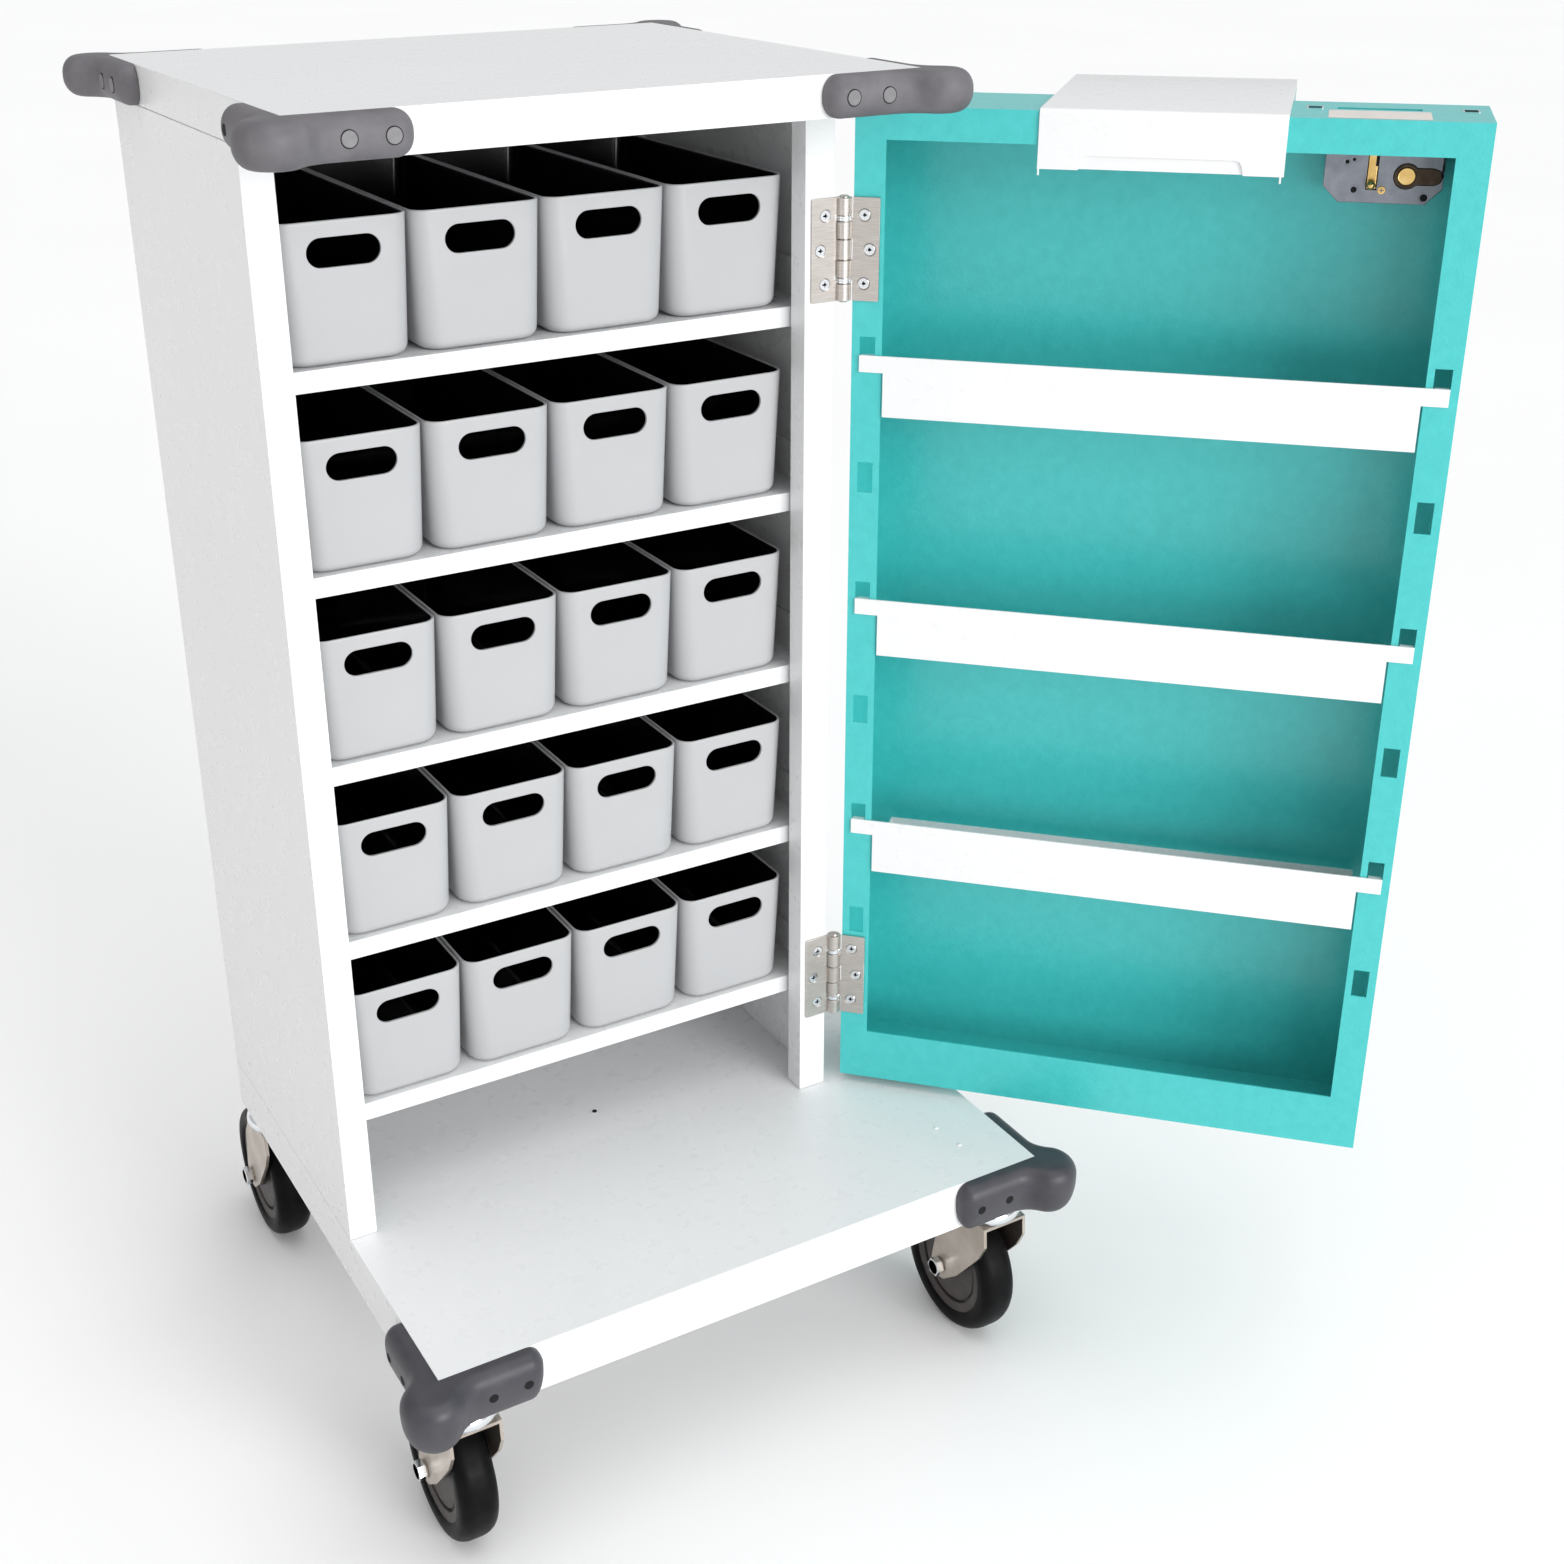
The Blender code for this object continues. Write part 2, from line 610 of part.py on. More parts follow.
def lock_cylinder():
    """A profile cylinder from the case to just outside the door, bored at its inner end."""
    front = CASE_FRONT - 0.0008
    body = prism(keyhole(CYLINDER_RADIUS, CYLINDER_BAR, CYLINDER_REACH), "Y", front, DOOR_BACK + 0.003)
    radius = PLUG_RADIUS + GAP
    deep = front + PLUG_LENGTH + GAP
    bore = turned([(0, front - 0.002), (radius, front - 0.002), (radius, deep), (0, deep)], 24, "Y")
    x, z = CYLINDER_MIDDLE
    return cut(body, moved(bore, (x, 0, z)))


def lock_plug():
    front = -0.0006
    r = PLUG_RADIUS
    profile = [(0, front), (r - 0.0008, front), (r, front + 0.0008), (r, PLUG_LENGTH), (0, PLUG_LENGTH)]
    return turned(profile, 24, "Y")


def lock_bolt():
    half = BOLT_WIDTH / 2
    top = DOOR_TOP - SHEET - GAP
    return box(-half, half, 0, BOLT_DEPTH, 0, top - BOLT_BOTTOM)


def door(parent, surfaces):
    pin = empty("door_pin", (PIN_X, PIN_Y, 0), parent, DOOR_HEADING)
    fixed_pin = empty("post_pin", (PIN_X, PIN_Y, 0), parent)
    add("door_pan", door_pan(), surfaces["door"], pin)
    for number, level in enumerate(TRAY_TOPS, start=1):
        add(f"door_tray_{number}", door_tray(), surfaces["painted"], pin, (0, 0, level))
    add("document_holder", document_holder(), surfaces["painted"], pin)
    for place, middle in HINGE_MIDDLES.items():
        at = (0, 0, middle)
        add(f"hinge_{place}_post_leaf", hinge_leaf(-1, (0, 2, 4), False), surfaces["steel"], fixed_pin, at)
        add(f"hinge_{place}_door_leaf", hinge_leaf(1, (1, 3), True), surfaces["steel"], pin, at)
    add("lock_case", lock_case(), surfaces["steel"], pin)
    add("lock_cylinder", lock_cylinder(), surfaces["dark"], pin)
    x, z = CYLINDER_MIDDLE
    add("lock_plug", lock_plug(), surfaces["brass"], pin, (x, CASE_FRONT - 0.0008, z), smooth=True)
    add("lock_bolt", lock_bolt(), surfaces["brass"], pin, (BOLT_MIDDLE, CASE_FRONT, BOLT_BOTTOM))


# ---------------------------------------------------------------- the whole cabinet

def build():
    for thing in list(bpy.data.objects):
        bpy.data.objects.remove(thing)
    surfaces = {
        "painted": material("white_paint", (0.86, 0.87, 0.88), 0.35),
        "door": material("teal_paint", (0.10, 0.55, 0.53), 0.40),
        "rubber": material("grey_rubber", (0.07, 0.07, 0.08), 0.55),
        "plastic": material("bin_plastic", (0.55, 0.57, 0.59), 0.35),
        "tyre": material("black_tyre", (0.012, 0.012, 0.013), 0.45),
        "zinc": material("zinc_plate", (0.75, 0.76, 0.78), 0.20, 1.0),
        "steel": material("satin_steel", (0.60, 0.58, 0.55), 0.32, 1.0),
        "brass": material("brass", (0.80, 0.58, 0.22), 0.25, 1.0),
        "dark": material("dark_bronze", (0.10, 0.07, 0.05), 0.40, 1.0),
    }
    root = empty("cabinet_origin", -MIDDLE)
    painted = surfaces["painted"]
    add("base_platform", base_platform(), painted, root)
    add("carcass", carcass(), painted, root)
    add("top_cap", top_cap(), painted, root)
    bumpers(root, surfaces["rubber"])
    castors(root, surfaces["zinc"], surfaces["steel"], surfaces["tyre"])
    shelves_and_bins(root, painted, surfaces["plastic"])
    door(root, surfaces)


build()
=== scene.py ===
import json
import math

import bmesh
import bpy
from mathutils import Matrix, Vector


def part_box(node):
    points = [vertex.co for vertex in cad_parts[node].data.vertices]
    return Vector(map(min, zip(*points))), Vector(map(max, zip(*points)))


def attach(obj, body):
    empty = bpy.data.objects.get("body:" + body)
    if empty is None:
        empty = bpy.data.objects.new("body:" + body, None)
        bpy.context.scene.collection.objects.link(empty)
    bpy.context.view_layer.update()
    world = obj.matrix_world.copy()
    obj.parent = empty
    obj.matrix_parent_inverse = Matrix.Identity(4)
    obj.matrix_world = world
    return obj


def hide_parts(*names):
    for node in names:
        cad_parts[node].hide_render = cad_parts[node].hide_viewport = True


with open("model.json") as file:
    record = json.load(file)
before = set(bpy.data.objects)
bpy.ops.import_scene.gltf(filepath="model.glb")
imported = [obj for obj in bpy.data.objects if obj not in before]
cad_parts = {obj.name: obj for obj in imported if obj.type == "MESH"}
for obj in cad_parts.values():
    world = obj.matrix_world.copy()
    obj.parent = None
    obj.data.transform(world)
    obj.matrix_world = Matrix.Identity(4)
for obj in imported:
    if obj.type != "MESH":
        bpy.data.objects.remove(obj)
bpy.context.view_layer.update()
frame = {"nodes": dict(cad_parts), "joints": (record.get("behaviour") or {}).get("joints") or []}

NODES = frame["nodes"]
JOINTS = {joint["name"]: joint for joint in frame["joints"]}
PIN = Vector(JOINTS["door_hinge"]["pos_m"])
DOOR_HEADING = math.radians(-45.2)
DOOR_FRAME = Matrix.Translation((PIN.x, PIN.y, 0)) @ Matrix.Rotation(DOOR_HEADING, 4, "Z")
POST_FRAME = Matrix.Translation((PIN.x, PIN.y, 0))
PLACES = ("front_left", "front_right", "back_left", "back_right")
CASE_FACE = 0.056
BOLT_MIDDLE = 0.3709
DOOR_OUTSIDE = 0.0945
# the lock case's punched holes: x from the hinge pin, height above the case's foot, radius
CASE_HOLES = (
    (0.3592, 0.0090, 0.0022),
    (0.4075, 0.0050, 0.0026),
    (0.3529, 0.0283, 0.0015),
    (0.3575, 0.0300, 0.0012),
)


# ---------------------------------------------------------------- mesh helpers

def finished(shape, name="mesh"):
    """A mesh from an edited shape, with its faces turned outward."""
    bmesh.ops.recalc_face_normals(shape, faces=shape.faces[:])
    mesh = bpy.data.meshes.new(name)
    shape.to_mesh(mesh)
    shape.free()
    return mesh


def loft(rings, name="loft", ends=True):
    """Joins rings of equal length in order and, if asked, fills the first and the last."""
    shape = bmesh.new()
    rings = [[shape.verts.new(point) for point in ring] for ring in rings]
    count = len(rings[0])
    for lower, upper in zip(rings, rings[1:]):
        for i in range(count):
            j = (i + 1) % count
            shape.faces.new((lower[i], lower[j], upper[j], upper[i]))
    if ends:
        shape.faces.new(rings[0])
        shape.faces.new(rings[-1])
    return finished(shape, name)


def on_axis(axis, p, q, h):
    """A point whose profile plane is p, q and whose height along the axis is h."""
    return {"X": (h, p, q), "Y": (p, h, q), "Z": (p, q, h)}[axis]


def prism(outline, axis, start, end):
    """A closed outline carried straight along an axis."""
    return loft([[on_axis(axis, p, q, h) for p, q in outline] for h in (start, end)], "prism")


def box(low, high):
    corners = [(low[0], low[1]), (high[0], low[1]), (high[0], high[1]), (low[0], high[1])]
    return prism(corners, "Z", low[2], high[2])


def turned(profile, segments=48, axis="Z"):
    """Turns (radius, height) pairs about an axis; the ends lie on the axis or close round a bore."""
    shape = bmesh.new()
    rings = []
    for radius, height in profile:
        steps = segments if radius > 0 else 1
        angles = [math.tau * i / segments for i in range(steps)]
        rings.append([shape.verts.new(on_axis(axis, radius * math.cos(a), radius * math.sin(a), height))
                      for a in angles])
    pairs = list(zip(rings, rings[1:]))
    if profile[0][0] > 0:
        pairs.append((rings[-1], rings[0]))
    for lower, upper in pairs:
        for i in range(segments):
            j = (i + 1) % segments
            corners = [lower[i % len(lower)], lower[j % len(lower)],
                       upper[j % len(upper)], upper[i % len(upper)]]
            corners = list(dict.fromkeys(corners))
            if len(corners) > 2:
                shape.faces.new(corners)
    return finished(shape, "turned")


def arc(middle, radius, start, end, steps):
    angles = [math.radians(start + (end - start) * i / steps) for i in range(steps + 1)]
    return [(middle[0] + radius * math.cos(a), middle[1] + radius * math.sin(a)) for a in angles]


def rounded_rectangle(width, depth, radius, steps=6, middle=(0.0, 0.0)):
    points = []
    for quarter in range(4):
        x = (width / 2 - radius) * (1 if quarter in (0, 3) else -1) + middle[0]
        y = (depth / 2 - radius) * (1 if quarter in (0, 1) else -1) + middle[1]
        points += arc((x, y), radius, 90 * quarter, 90 * quarter + 90, steps)
    return points


def cut(first, second):
    """The first mesh with the second taken out of it."""
    target = bpy.data.objects.new("target", first)
    tool = bpy.data.objects.new("tool", second)
    for thing in (target, tool):
        bpy.context.scene.collection.objects.link(thing)
    step = target.modifiers.new("step", "BOOLEAN")
    step.operation = "DIFFERENCE"
    step.solver = "EXACT"
    step.object = tool
    graph = bpy.context.evaluated_depsgraph_get()
    graph.update()
    result = bpy.data.meshes.new_from_object(target.evaluated_get(graph))
    for thing in (target, tool):
        bpy.data.objects.remove(thing)
    return result


def moved(mesh, offset):
    mesh.transform(Matrix.Translation(Vector(offset)))
    return mesh


def joined(meshes):
    """One mesh that holds several, kept apart."""
    shape = bmesh.new()
    for mesh in meshes:
        shape.from_mesh(mesh)
    mesh = bpy.data.meshes.new("group")
    shape.to_mesh(mesh)
    shape.free()
    return mesh


def soften(piece, width, segments=3, angle=30):
    """Rounds every edge sharper than the angle."""
    bevel = piece.modifiers.new("edges", "BEVEL")
    bevel.width = width
    bevel.segments = segments
    bevel.limit_method = "ANGLE"
    bevel.angle_limit = math.radians(angle)
    bevel.harden_normals = True
    return piece


def add(name, mesh, surface, body, slot, matrix=None, sharp=35, bevel=0.0, segments=3, bevel_angle=30):
    """Adds one visible piece that rides on a body."""
    piece = bpy.data.objects.new(name, mesh)
    bpy.context.scene.collection.objects.link(piece)
    mesh.materials.clear()
    for item in surface if isinstance(surface, (list, tuple)) else [surface]:
        mesh.materials.append(item)
    mesh.shade_smooth()
    mesh.set_sharp_from_angle(angle=math.radians(sharp))
    if matrix is not None:
        piece.matrix_world = matrix
    if bevel:
        soften(piece, bevel, segments, bevel_angle)
    bpy.context.view_layer.update()
    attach(piece, body)
    return piece


WELD = 0.00002


def refined(node, surface, body, slot, bevel):
    """A copy of a sheet or block node with its facets merged and its edges rounded."""
    shape = bmesh.new()
    shape.from_mesh(NODES[node].data)
    bmesh.ops.remove_doubles(shape, verts=shape.verts, dist=WELD)
    bmesh.ops.dissolve_limit(shape, angle_limit=math.radians(1), verts=shape.verts, edges=shape.edges)
    mesh = finished(shape, node)
    piece = add(node + "_skin", mesh, surface, body, slot, bevel=bevel)
    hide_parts(node)
    return piece


# ---------------------------------------------------------------- materials

class Surface:
    """A Principled material with small helpers for its nodes, in the object's own metres."""

    def __init__(self, name, roughness, metallic=0.0, specular=0.5, coat=0.0, coat_roughness=0.1):
        self.material = bpy.data.materials.new(name)
        self.material.use_nodes = True
        self.tree = self.material.node_tree
        self.shader = self.tree.nodes["Principled BSDF"]
        self.shader.inputs["Roughness"].default_value = roughness
        self.shader.inputs["Metallic"].default_value = metallic
        self.shader.inputs["Specular IOR Level"].default_value = specular
        self.shader.inputs["Coat Weight"].default_value = coat
        self.shader.inputs["Coat Roughness"].default_value = coat_roughness
        self.where = self.tree.nodes.new("ShaderNodeTexCoord").outputs["Object"]

    def noise(self, scale, detail=3.0, roughness=0.5, stretch=None):
        source = self.where
        if stretch:
            mapping = self.tree.nodes.new("ShaderNodeMapping")
            mapping.inputs["Scale"].default_value = stretch
            self.tree.links.new(self.where, mapping.inputs["Vector"])
            source = mapping.outputs["Vector"]
        node = self.tree.nodes.new("ShaderNodeTexNoise")
        node.inputs["Scale"].default_value = scale
        node.inputs["Detail"].default_value = detail
        node.inputs["Roughness"].default_value = roughness
        self.tree.links.new(source, node.inputs["Vector"])
        return node.outputs["Fac"]

    def ramp(self, source, stops):
        node = self.tree.nodes.new("ShaderNodeValToRGB")
        elements = node.color_ramp.elements
        elements[0].position, elements[0].color = stops[0][0], (*stops[0][1], 1.0)
        elements[1].position, elements[1].color = stops[-1][0], (*stops[-1][1], 1.0)
        for position, colour in stops[1:-1]:
            elements.new(position).color = (*colour, 1.0)
        self.tree.links.new(source, node.inputs["Fac"])
        return node.outputs["Color"]

    def colour(self, source):
        self.tree.links.new(source, self.shader.inputs["Base Color"])
        return self

    def vary_roughness(self, source, low, high):
        node = self.tree.nodes.new("ShaderNodeMapRange")
        node.inputs["To Min"].default_value = low
        node.inputs["To Max"].default_value = high
        self.tree.links.new(source, node.inputs["Value"])
        self.tree.links.new(node.outputs["Result"], self.shader.inputs["Roughness"])
        return self

    def bump(self, source, strength, distance):
        node = self.tree.nodes.new("ShaderNodeBump")
        node.inputs["Strength"].default_value = strength
        node.inputs["Distance"].default_value = distance
        self.tree.links.new(source, node.inputs["Height"])
        previous = self.shader.inputs["Normal"]
        if previous.is_linked:
            self.tree.links.new(previous.links[0].from_socket, node.inputs["Normal"])
        self.tree.links.new(node.outputs["Normal"], previous)
        return self


def shades(colour, spread):
    """Two shades about a colour."""
    darker = tuple(c * (1 - spread) for c in colour)
    lighter = tuple(min(1, c * (1 + spread)) for c in colour)
    return [(0.35, darker), (0.65, lighter)]


def white_paint():
    s = Surface("white_powder_coat", 0.32, specular=0.5)
    s.colour(s.ramp(s.noise(9, 4), shades((0.80, 0.805, 0.81), 0.007)))
    s.vary_roughness(s.noise(60, 4), 0.25, 0.31)
    return s.bump(s.noise(520, 2), 0.02, 0.0001).material


def teal_paint():
    s = Surface("teal_powder_coat", 0.38, specular=0.5, coat=0.18, coat_roughness=0.16)
    s.colour(s.ramp(s.noise(110, 5, 0.6), [(0.30, (0.048, 0.500, 0.493)), (0.72, (0.062, 0.550, 0.543))]))
    s.vary_roughness(s.noise(240, 3), 0.24, 0.40)
    return s.bump(s.noise(430, 3, 0.6), 0.30, 0.0007).bump(s.noise(60, 2), 0.12, 0.001).material


def bumper_rubber():
    s = Surface("grey_bumper_rubber", 0.52, specular=0.35)
    s.colour(s.ramp(s.noise(45, 5, 0.6), [(0.3, (0.112, 0.107, 0.116)), (0.7, (0.160, 0.152, 0.164))]))
    s.vary_roughness(s.noise(90, 5), 0.42, 0.64)
    return s.bump(s.noise(1400, 2), 0.14, 0.0002).bump(s.noise(60, 3), 0.10, 0.0006).material


def painted_shade_bumper_rubber():
    # The same rubber as the top bumpers, made darker for the base bumpers: painted shade for the dimmer
    # light near the floor.
    s = Surface("painted_shade_bumper_rubber", 0.42, specular=0.4)
    s.colour(s.ramp(s.noise(45, 5, 0.6), [(0.3, (0.040, 0.039, 0.048)), (0.7, (0.062, 0.060, 0.070))]))
    s.vary_roughness(s.noise(90, 5), 0.34, 0.54)
    return s.bump(s.noise(1400, 2), 0.12, 0.0002).bump(s.noise(60, 3), 0.08, 0.0006).material


def plug_rubber():
    s = Surface("bumper_plug_rubber", 0.5)
    s.colour(s.ramp(s.noise(200, 3), shades((0.19, 0.185, 0.195), 0.06)))
    return s.bump(s.noise(1500, 2), 0.1, 0.0002).material


def painted_shade_material():
    # Near-black paint laid into holes, slots and recesses: painted shade for the dark inside them.
    s = Surface("painted_shade_in_recesses", 0.7, specular=0.2)
    s.colour(s.ramp(s.noise(300, 2), shades((0.008, 0.008, 0.009), 0.3)))
    return s.material


def bin_outside():
    s = Surface("grey_bin_plastic", 0.34, specular=0.45)
    s.colour(s.ramp(s.noise(14, 3), shades((0.445, 0.448, 0.458), 0.012)))
    s.vary_roughness(s.noise(45, 4), 0.28, 0.40)
    return s.bump(s.noise(900, 2), 0.05, 0.0002).bump(s.noise(18, 2), 0.06, 0.0015).material


def bin_inside():
    s = Surface("black_bin_lining", 0.14, specular=0.5)
    s.colour(s.ramp(s.noise(20, 3), shades((0.0055, 0.0055, 0.006), 0.2)))
    s.vary_roughness(s.noise(30, 3), 0.10, 0.22)
    return s.bump(s.noise(25, 2), 0.10, 0.001).material


def tyre_rubber():
    s = Surface("black_tyre_rubber", 0.42, specular=0.08)
    s.colour(s.ramp(s.noise(80, 5), [(0.3, (0.0025, 0.0025, 0.003)), (0.75, (0.006, 0.006, 0.0065))]))
    s.vary_roughness(s.noise(130, 5), 0.30, 0.55)
    return s.bump(s.noise(700, 3), 0.12, 0.0003).material


def hub_plastic():
    s = Surface("brown_grey_hub_plastic", 0.45)
    s.colour(s.ramp(s.noise(60, 4), [(0.3, (0.034, 0.027, 0.026)), (0.7, (0.056, 0.044, 0.041))]))
    s.vary_roughness(s.noise(150, 4), 0.36, 0.56)
    return s.bump(s.noise(900, 2), 0.12, 0.0002).material


def bright_zinc():
    s = Surface("bright_zinc_plate", 0.12, metallic=1.0)
    s.colour(s.ramp(s.noise(40, 3), shades((0.80, 0.82, 0.84), 0.05)))
    s.vary_roughness(s.noise(120, 4), 0.07, 0.20)
    return s.bump(s.noise(90, 2), 0.08, 0.0006).material


def fork_steel():
    s = Surface("zinc_pressed_steel", 0.32, metallic=1.0)
    s.colour(s.ramp(s.noise(35, 5, 0.6), [(0.3, (0.46, 0.40, 0.34)), (0.7, (0.62, 0.56, 0.50))]))
    s.vary_roughness(s.noise(110, 5, 0.65), 0.24, 0.46)
    return s.bump(s.noise(260, 4), 0.12, 0.0004).material


def satin_steel():
    s = Surface("satin_hinge_steel", 0.30, metallic=1.0)
    grain = s.noise(60, 4, 0.6, stretch=(1.0, 1.0, 26.0))
    s.colour(s.ramp(grain, [(0.3, (0.50, 0.46, 0.43)), (0.7, (0.66, 0.62, 0.58))]))
    s.vary_roughness(s.noise(50, 4), 0.22, 0.38)
    return s.bump(grain, 0.06, 0.0002).material


def lock_steel():
    s = Surface("dull_zinc_lock_case", 0.45, metallic=0.85)
    s.colour(s.ramp(s.noise(90, 5, 0.6), [(0.3, (0.22, 0.23, 0.265)), (0.7, (0.30, 0.31, 0.35))]))
    s.vary_roughness(s.noise(160, 4), 0.38, 0.56)
    return s.bump(s.noise(500, 3), 0.10, 0.0002).material


def brass():
    s = Surface("polished_brass", 0.22, metallic=1.0)
    s.colour(s.ramp(s.noise(120, 4), [(0.3, (0.66, 0.43, 0.14)), (0.7, (0.84, 0.60, 0.25))]))
    s.vary_roughness(s.noise(300, 4), 0.15, 0.34)
    return s.bump(s.noise(600, 3), 0.08, 0.0002).material


def dark_bronze():
    s = Surface("dark_bronze_cylinder", 0.42, metallic=0.8)
    s.colour(s.ramp(s.noise(150, 4), [(0.3, (0.045, 0.030, 0.020)), (0.7, (0.085, 0.058, 0.040))]))
    s.vary_roughness(s.noise(200, 4), 0.34, 0.52)
    return s.bump(s.noise(700, 3), 0.10, 0.0002).material


def paper_label():
    s = Surface("plain_paper_label", 0.6, specular=0.3)
    s.colour(s.ramp(s.noise(60, 4), shades((0.70, 0.66, 0.62), 0.04)))
    return s.bump(s.noise(1500, 2), 0.08, 0.0001).material


PAINT = white_paint()
TEAL = teal_paint()
RUBBER = bumper_rubber()
SHADED_BUMPER_RUBBER = painted_shade_bumper_rubber()
PLUG = plug_rubber()
PAINTED_SHADE = painted_shade_material()
BIN_GREY = bin_outside()
BIN_BLACK = bin_inside()
TYRE = tyre_rubber()
HUB = hub_plastic()
ZINC = bright_zinc()
FORK = fork_steel()
HINGE = satin_steel()
LOCK = lock_steel()
BRASS = brass()
BRONZE = dark_bronze()
LABEL = paper_label()


# ---------------------------------------------------------------- sheet-metal parts

def sheet_parts():
    for node in ("base_platform", "carcass", "top_cap", *[f"shelf_{i}" for i in range(1, 6)]):
        refined(node, PAINT, "cabinet", "white_paint", 0.0006)
    for number in (1, 2, 3):
        refined(f"door_tray_{number}", PAINT, f"door_tray_{number}", "white_paint", 0.0005)
    refined("door_pan", TEAL, "door", "teal_paint", 0.0006)


HOLDER_START, HOLDER_END = 0.140, 0.311
HOLDER_FACE, HOLDER_REACH, HOLDER_LIP, HOLDER_DROP = 0.0007, 0.214, 0.040, 0.020
HOLDER_SHEET, HOLDER_BEND = 0.0015, 0.0045
DIP_START, DIP_END = 0.1690, 0.2830
LAYER_START, LAYER_END = 0.150, 0.301


def bent_strip(path, thickness, steps=6):
    """A bent sheet's section: its outer path in (y, z) with round bends, and the inner side."""
    outer, inner = [path[0][:2]], []
    for before, here, after in zip(path, path[1:], path[2:]):
        point, radius = Vector(here[:2]), here[2]
        back = (Vector(before[:2]) - point).normalized()
        ahead = (Vector(after[:2]) - point).normalized()
        centre = point + (back + ahead) * radius
        first, last = -ahead * radius, -back * radius
        for i in range(steps + 1):
            turn = math.pi / 2 * i / steps
            spoke = first * math.cos(turn) + last * math.sin(turn)
            outer.append(tuple(centre + spoke))
            inner.append(tuple(centre + spoke * (radius - thickness) / radius))
    outer.append(path[-1][:2])
    first_side = Vector(inner[0]) - Vector(outer[1])
    last_side = Vector(inner[-1]) - Vector(outer[-2])
    inner.insert(0, tuple(Vector(path[0][:2]) + first_side))
    inner.append(tuple(Vector(path[-1][:2]) + last_side))
    return outer + inner[::-1]


def document_holder():
    """A plate bent over the door's top edge, with a dipped lip and a second layer behind it."""
    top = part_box("document_holder")[1].z
    far = 0.0025 + HOLDER_REACH
    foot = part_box("door_pan")[1].z - HOLDER_LIP
    path = [
        (HOLDER_FACE, foot),
        (HOLDER_FACE, top, HOLDER_BEND),
        (far, top, HOLDER_BEND),
        (far, top - HOLDER_DROP),
    ]
    plate = prism(bent_strip(path, HOLDER_SHEET), "X", HOLDER_START, HOLDER_END)
    side = ((0.0, -0.01), (0.0, 0.001), (0.0010, 0.0055), (0.0026, 0.0088), (0.0055, 0.0100))
    dip = [(DIP_START + x, foot + z) for x, z in side]
    dip += [(DIP_END - x, foot + z) for x, z in reversed(side)]
    plate = cut(plate, prism(dip, "Y", HOLDER_FACE - 0.001, HOLDER_FACE + HOLDER_SHEET + 0.0004))
    painted = (PAINT, "document_holder", "white_paint", DOOR_FRAME)
    piece = add("document_holder_plate", plate, *painted, bevel=0.0003)
    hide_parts("document_holder")
    behind = HOLDER_FACE + HOLDER_SHEET
    layer = box((LAYER_START, behind, foot + 0.0006), (LAYER_END, behind + 0.0012, foot + 0.018))
    add("document_holder_layer", layer, *painted, bevel=0.0003)
    for number, x in enumerate((HOLDER_START + 0.0002, HOLDER_END - 0.0030), start=1):
        low = (x, HOLDER_FACE + 0.0001, foot - 0.0045)
        high = (x + 0.0014, HOLDER_FACE + 0.0013, foot + 0.004)
        prong = box(low, high)
        add(f"document_holder_prong_{number}", prong, *painted, bevel=0.0004)


def rivet_mesh(radius=0.0022, height=0.0009):
    """A low domed rivet head along +Z, its foot at the origin."""
    dome = [(radius * math.cos(a), height * math.sin(a)) for a in
            [math.radians(d) for d in (0, 20, 42, 66)]]
    return turned([(0, -0.0004), (radius, -0.0004)] + dome + [(0, height)], 20)


def facing(direction):
    """A turn that points +Z along a direction."""
    return Vector(direction).to_track_quat("Z", "Y").to_matrix().to_4x4()


def rivets():
    low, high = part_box("carcass")
    base_low, base_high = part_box("base_platform")
    cap_low, cap_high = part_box("top_cap")
    spots = []
    for i in range(4):
        y = low.y + 0.045 + i * (high.y - low.y - 0.09) / 3
        spots.append((Vector((base_low.x, y, base_high.z - 0.012)), (-1, 0, 0)))
        spots.append((Vector((low.x, y, low.z + 0.020)), (-1, 0, 0)))
        spots.append((Vector((high.x, y, low.z + 0.020)), (1, 0, 0)))
    for x in (base_high.x - 0.045, base_high.x - 0.048):
        shift = 0.0 if x == base_high.x - 0.045 else 0.03
        spots.append((Vector((x, base_low.y + 0.045 + shift, base_high.z)), (0, 0, 1)))
    for row in range(1, 6):
        shelf_low, shelf_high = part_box(f"shelf_{row}")
        for x, side in ((shelf_low.x + 0.0015, 1), (shelf_high.x - 0.0015, -1)):
            spots.append((Vector((x, shelf_low.y + 0.022, shelf_high.z - 0.014)), (side, 0, 0)))
    for i in range(5):
        x = cap_low.x + 0.05 + i * (cap_high.x - cap_low.x - 0.10) / 4
        spots.append((Vector((x, cap_high.y, (cap_low.z + cap_high.z) / 2)), (0, 1, 0)))
    mesh = rivet_mesh()
    for number, (spot, direction) in enumerate(spots, start=1):
        matrix = Matrix.Translation(spot) @ facing(direction)
        add(f"rivet_{number}", mesh.copy(), PAINT, "cabinet", "white_paint", matrix, sharp=60)


def deck_hole_shade():
    low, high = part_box("base_platform")
    spot = Vector((low.x + 0.245, low.y + 0.245, high.z + 0.0002))
    # A thin near-black disc on the deck paints the shade inside the hole.
    ring = turned([(0, -0.0003), (0.0022, -0.0003), (0.0022, 0.0001), (0, 0.0001)], 20)
    add("deck_hole_shade", ring, PAINTED_SHADE, "cabinet", "white_paint", Matrix.Translation(spot))


# ---------------------------------------------------------------- bins

BIN_WALL = 0.0022
BIN_RIM_CORNER = 0.013
BIN_FOOT_CORNER = 0.018
BIN_FOOT_CURVE = 0.007


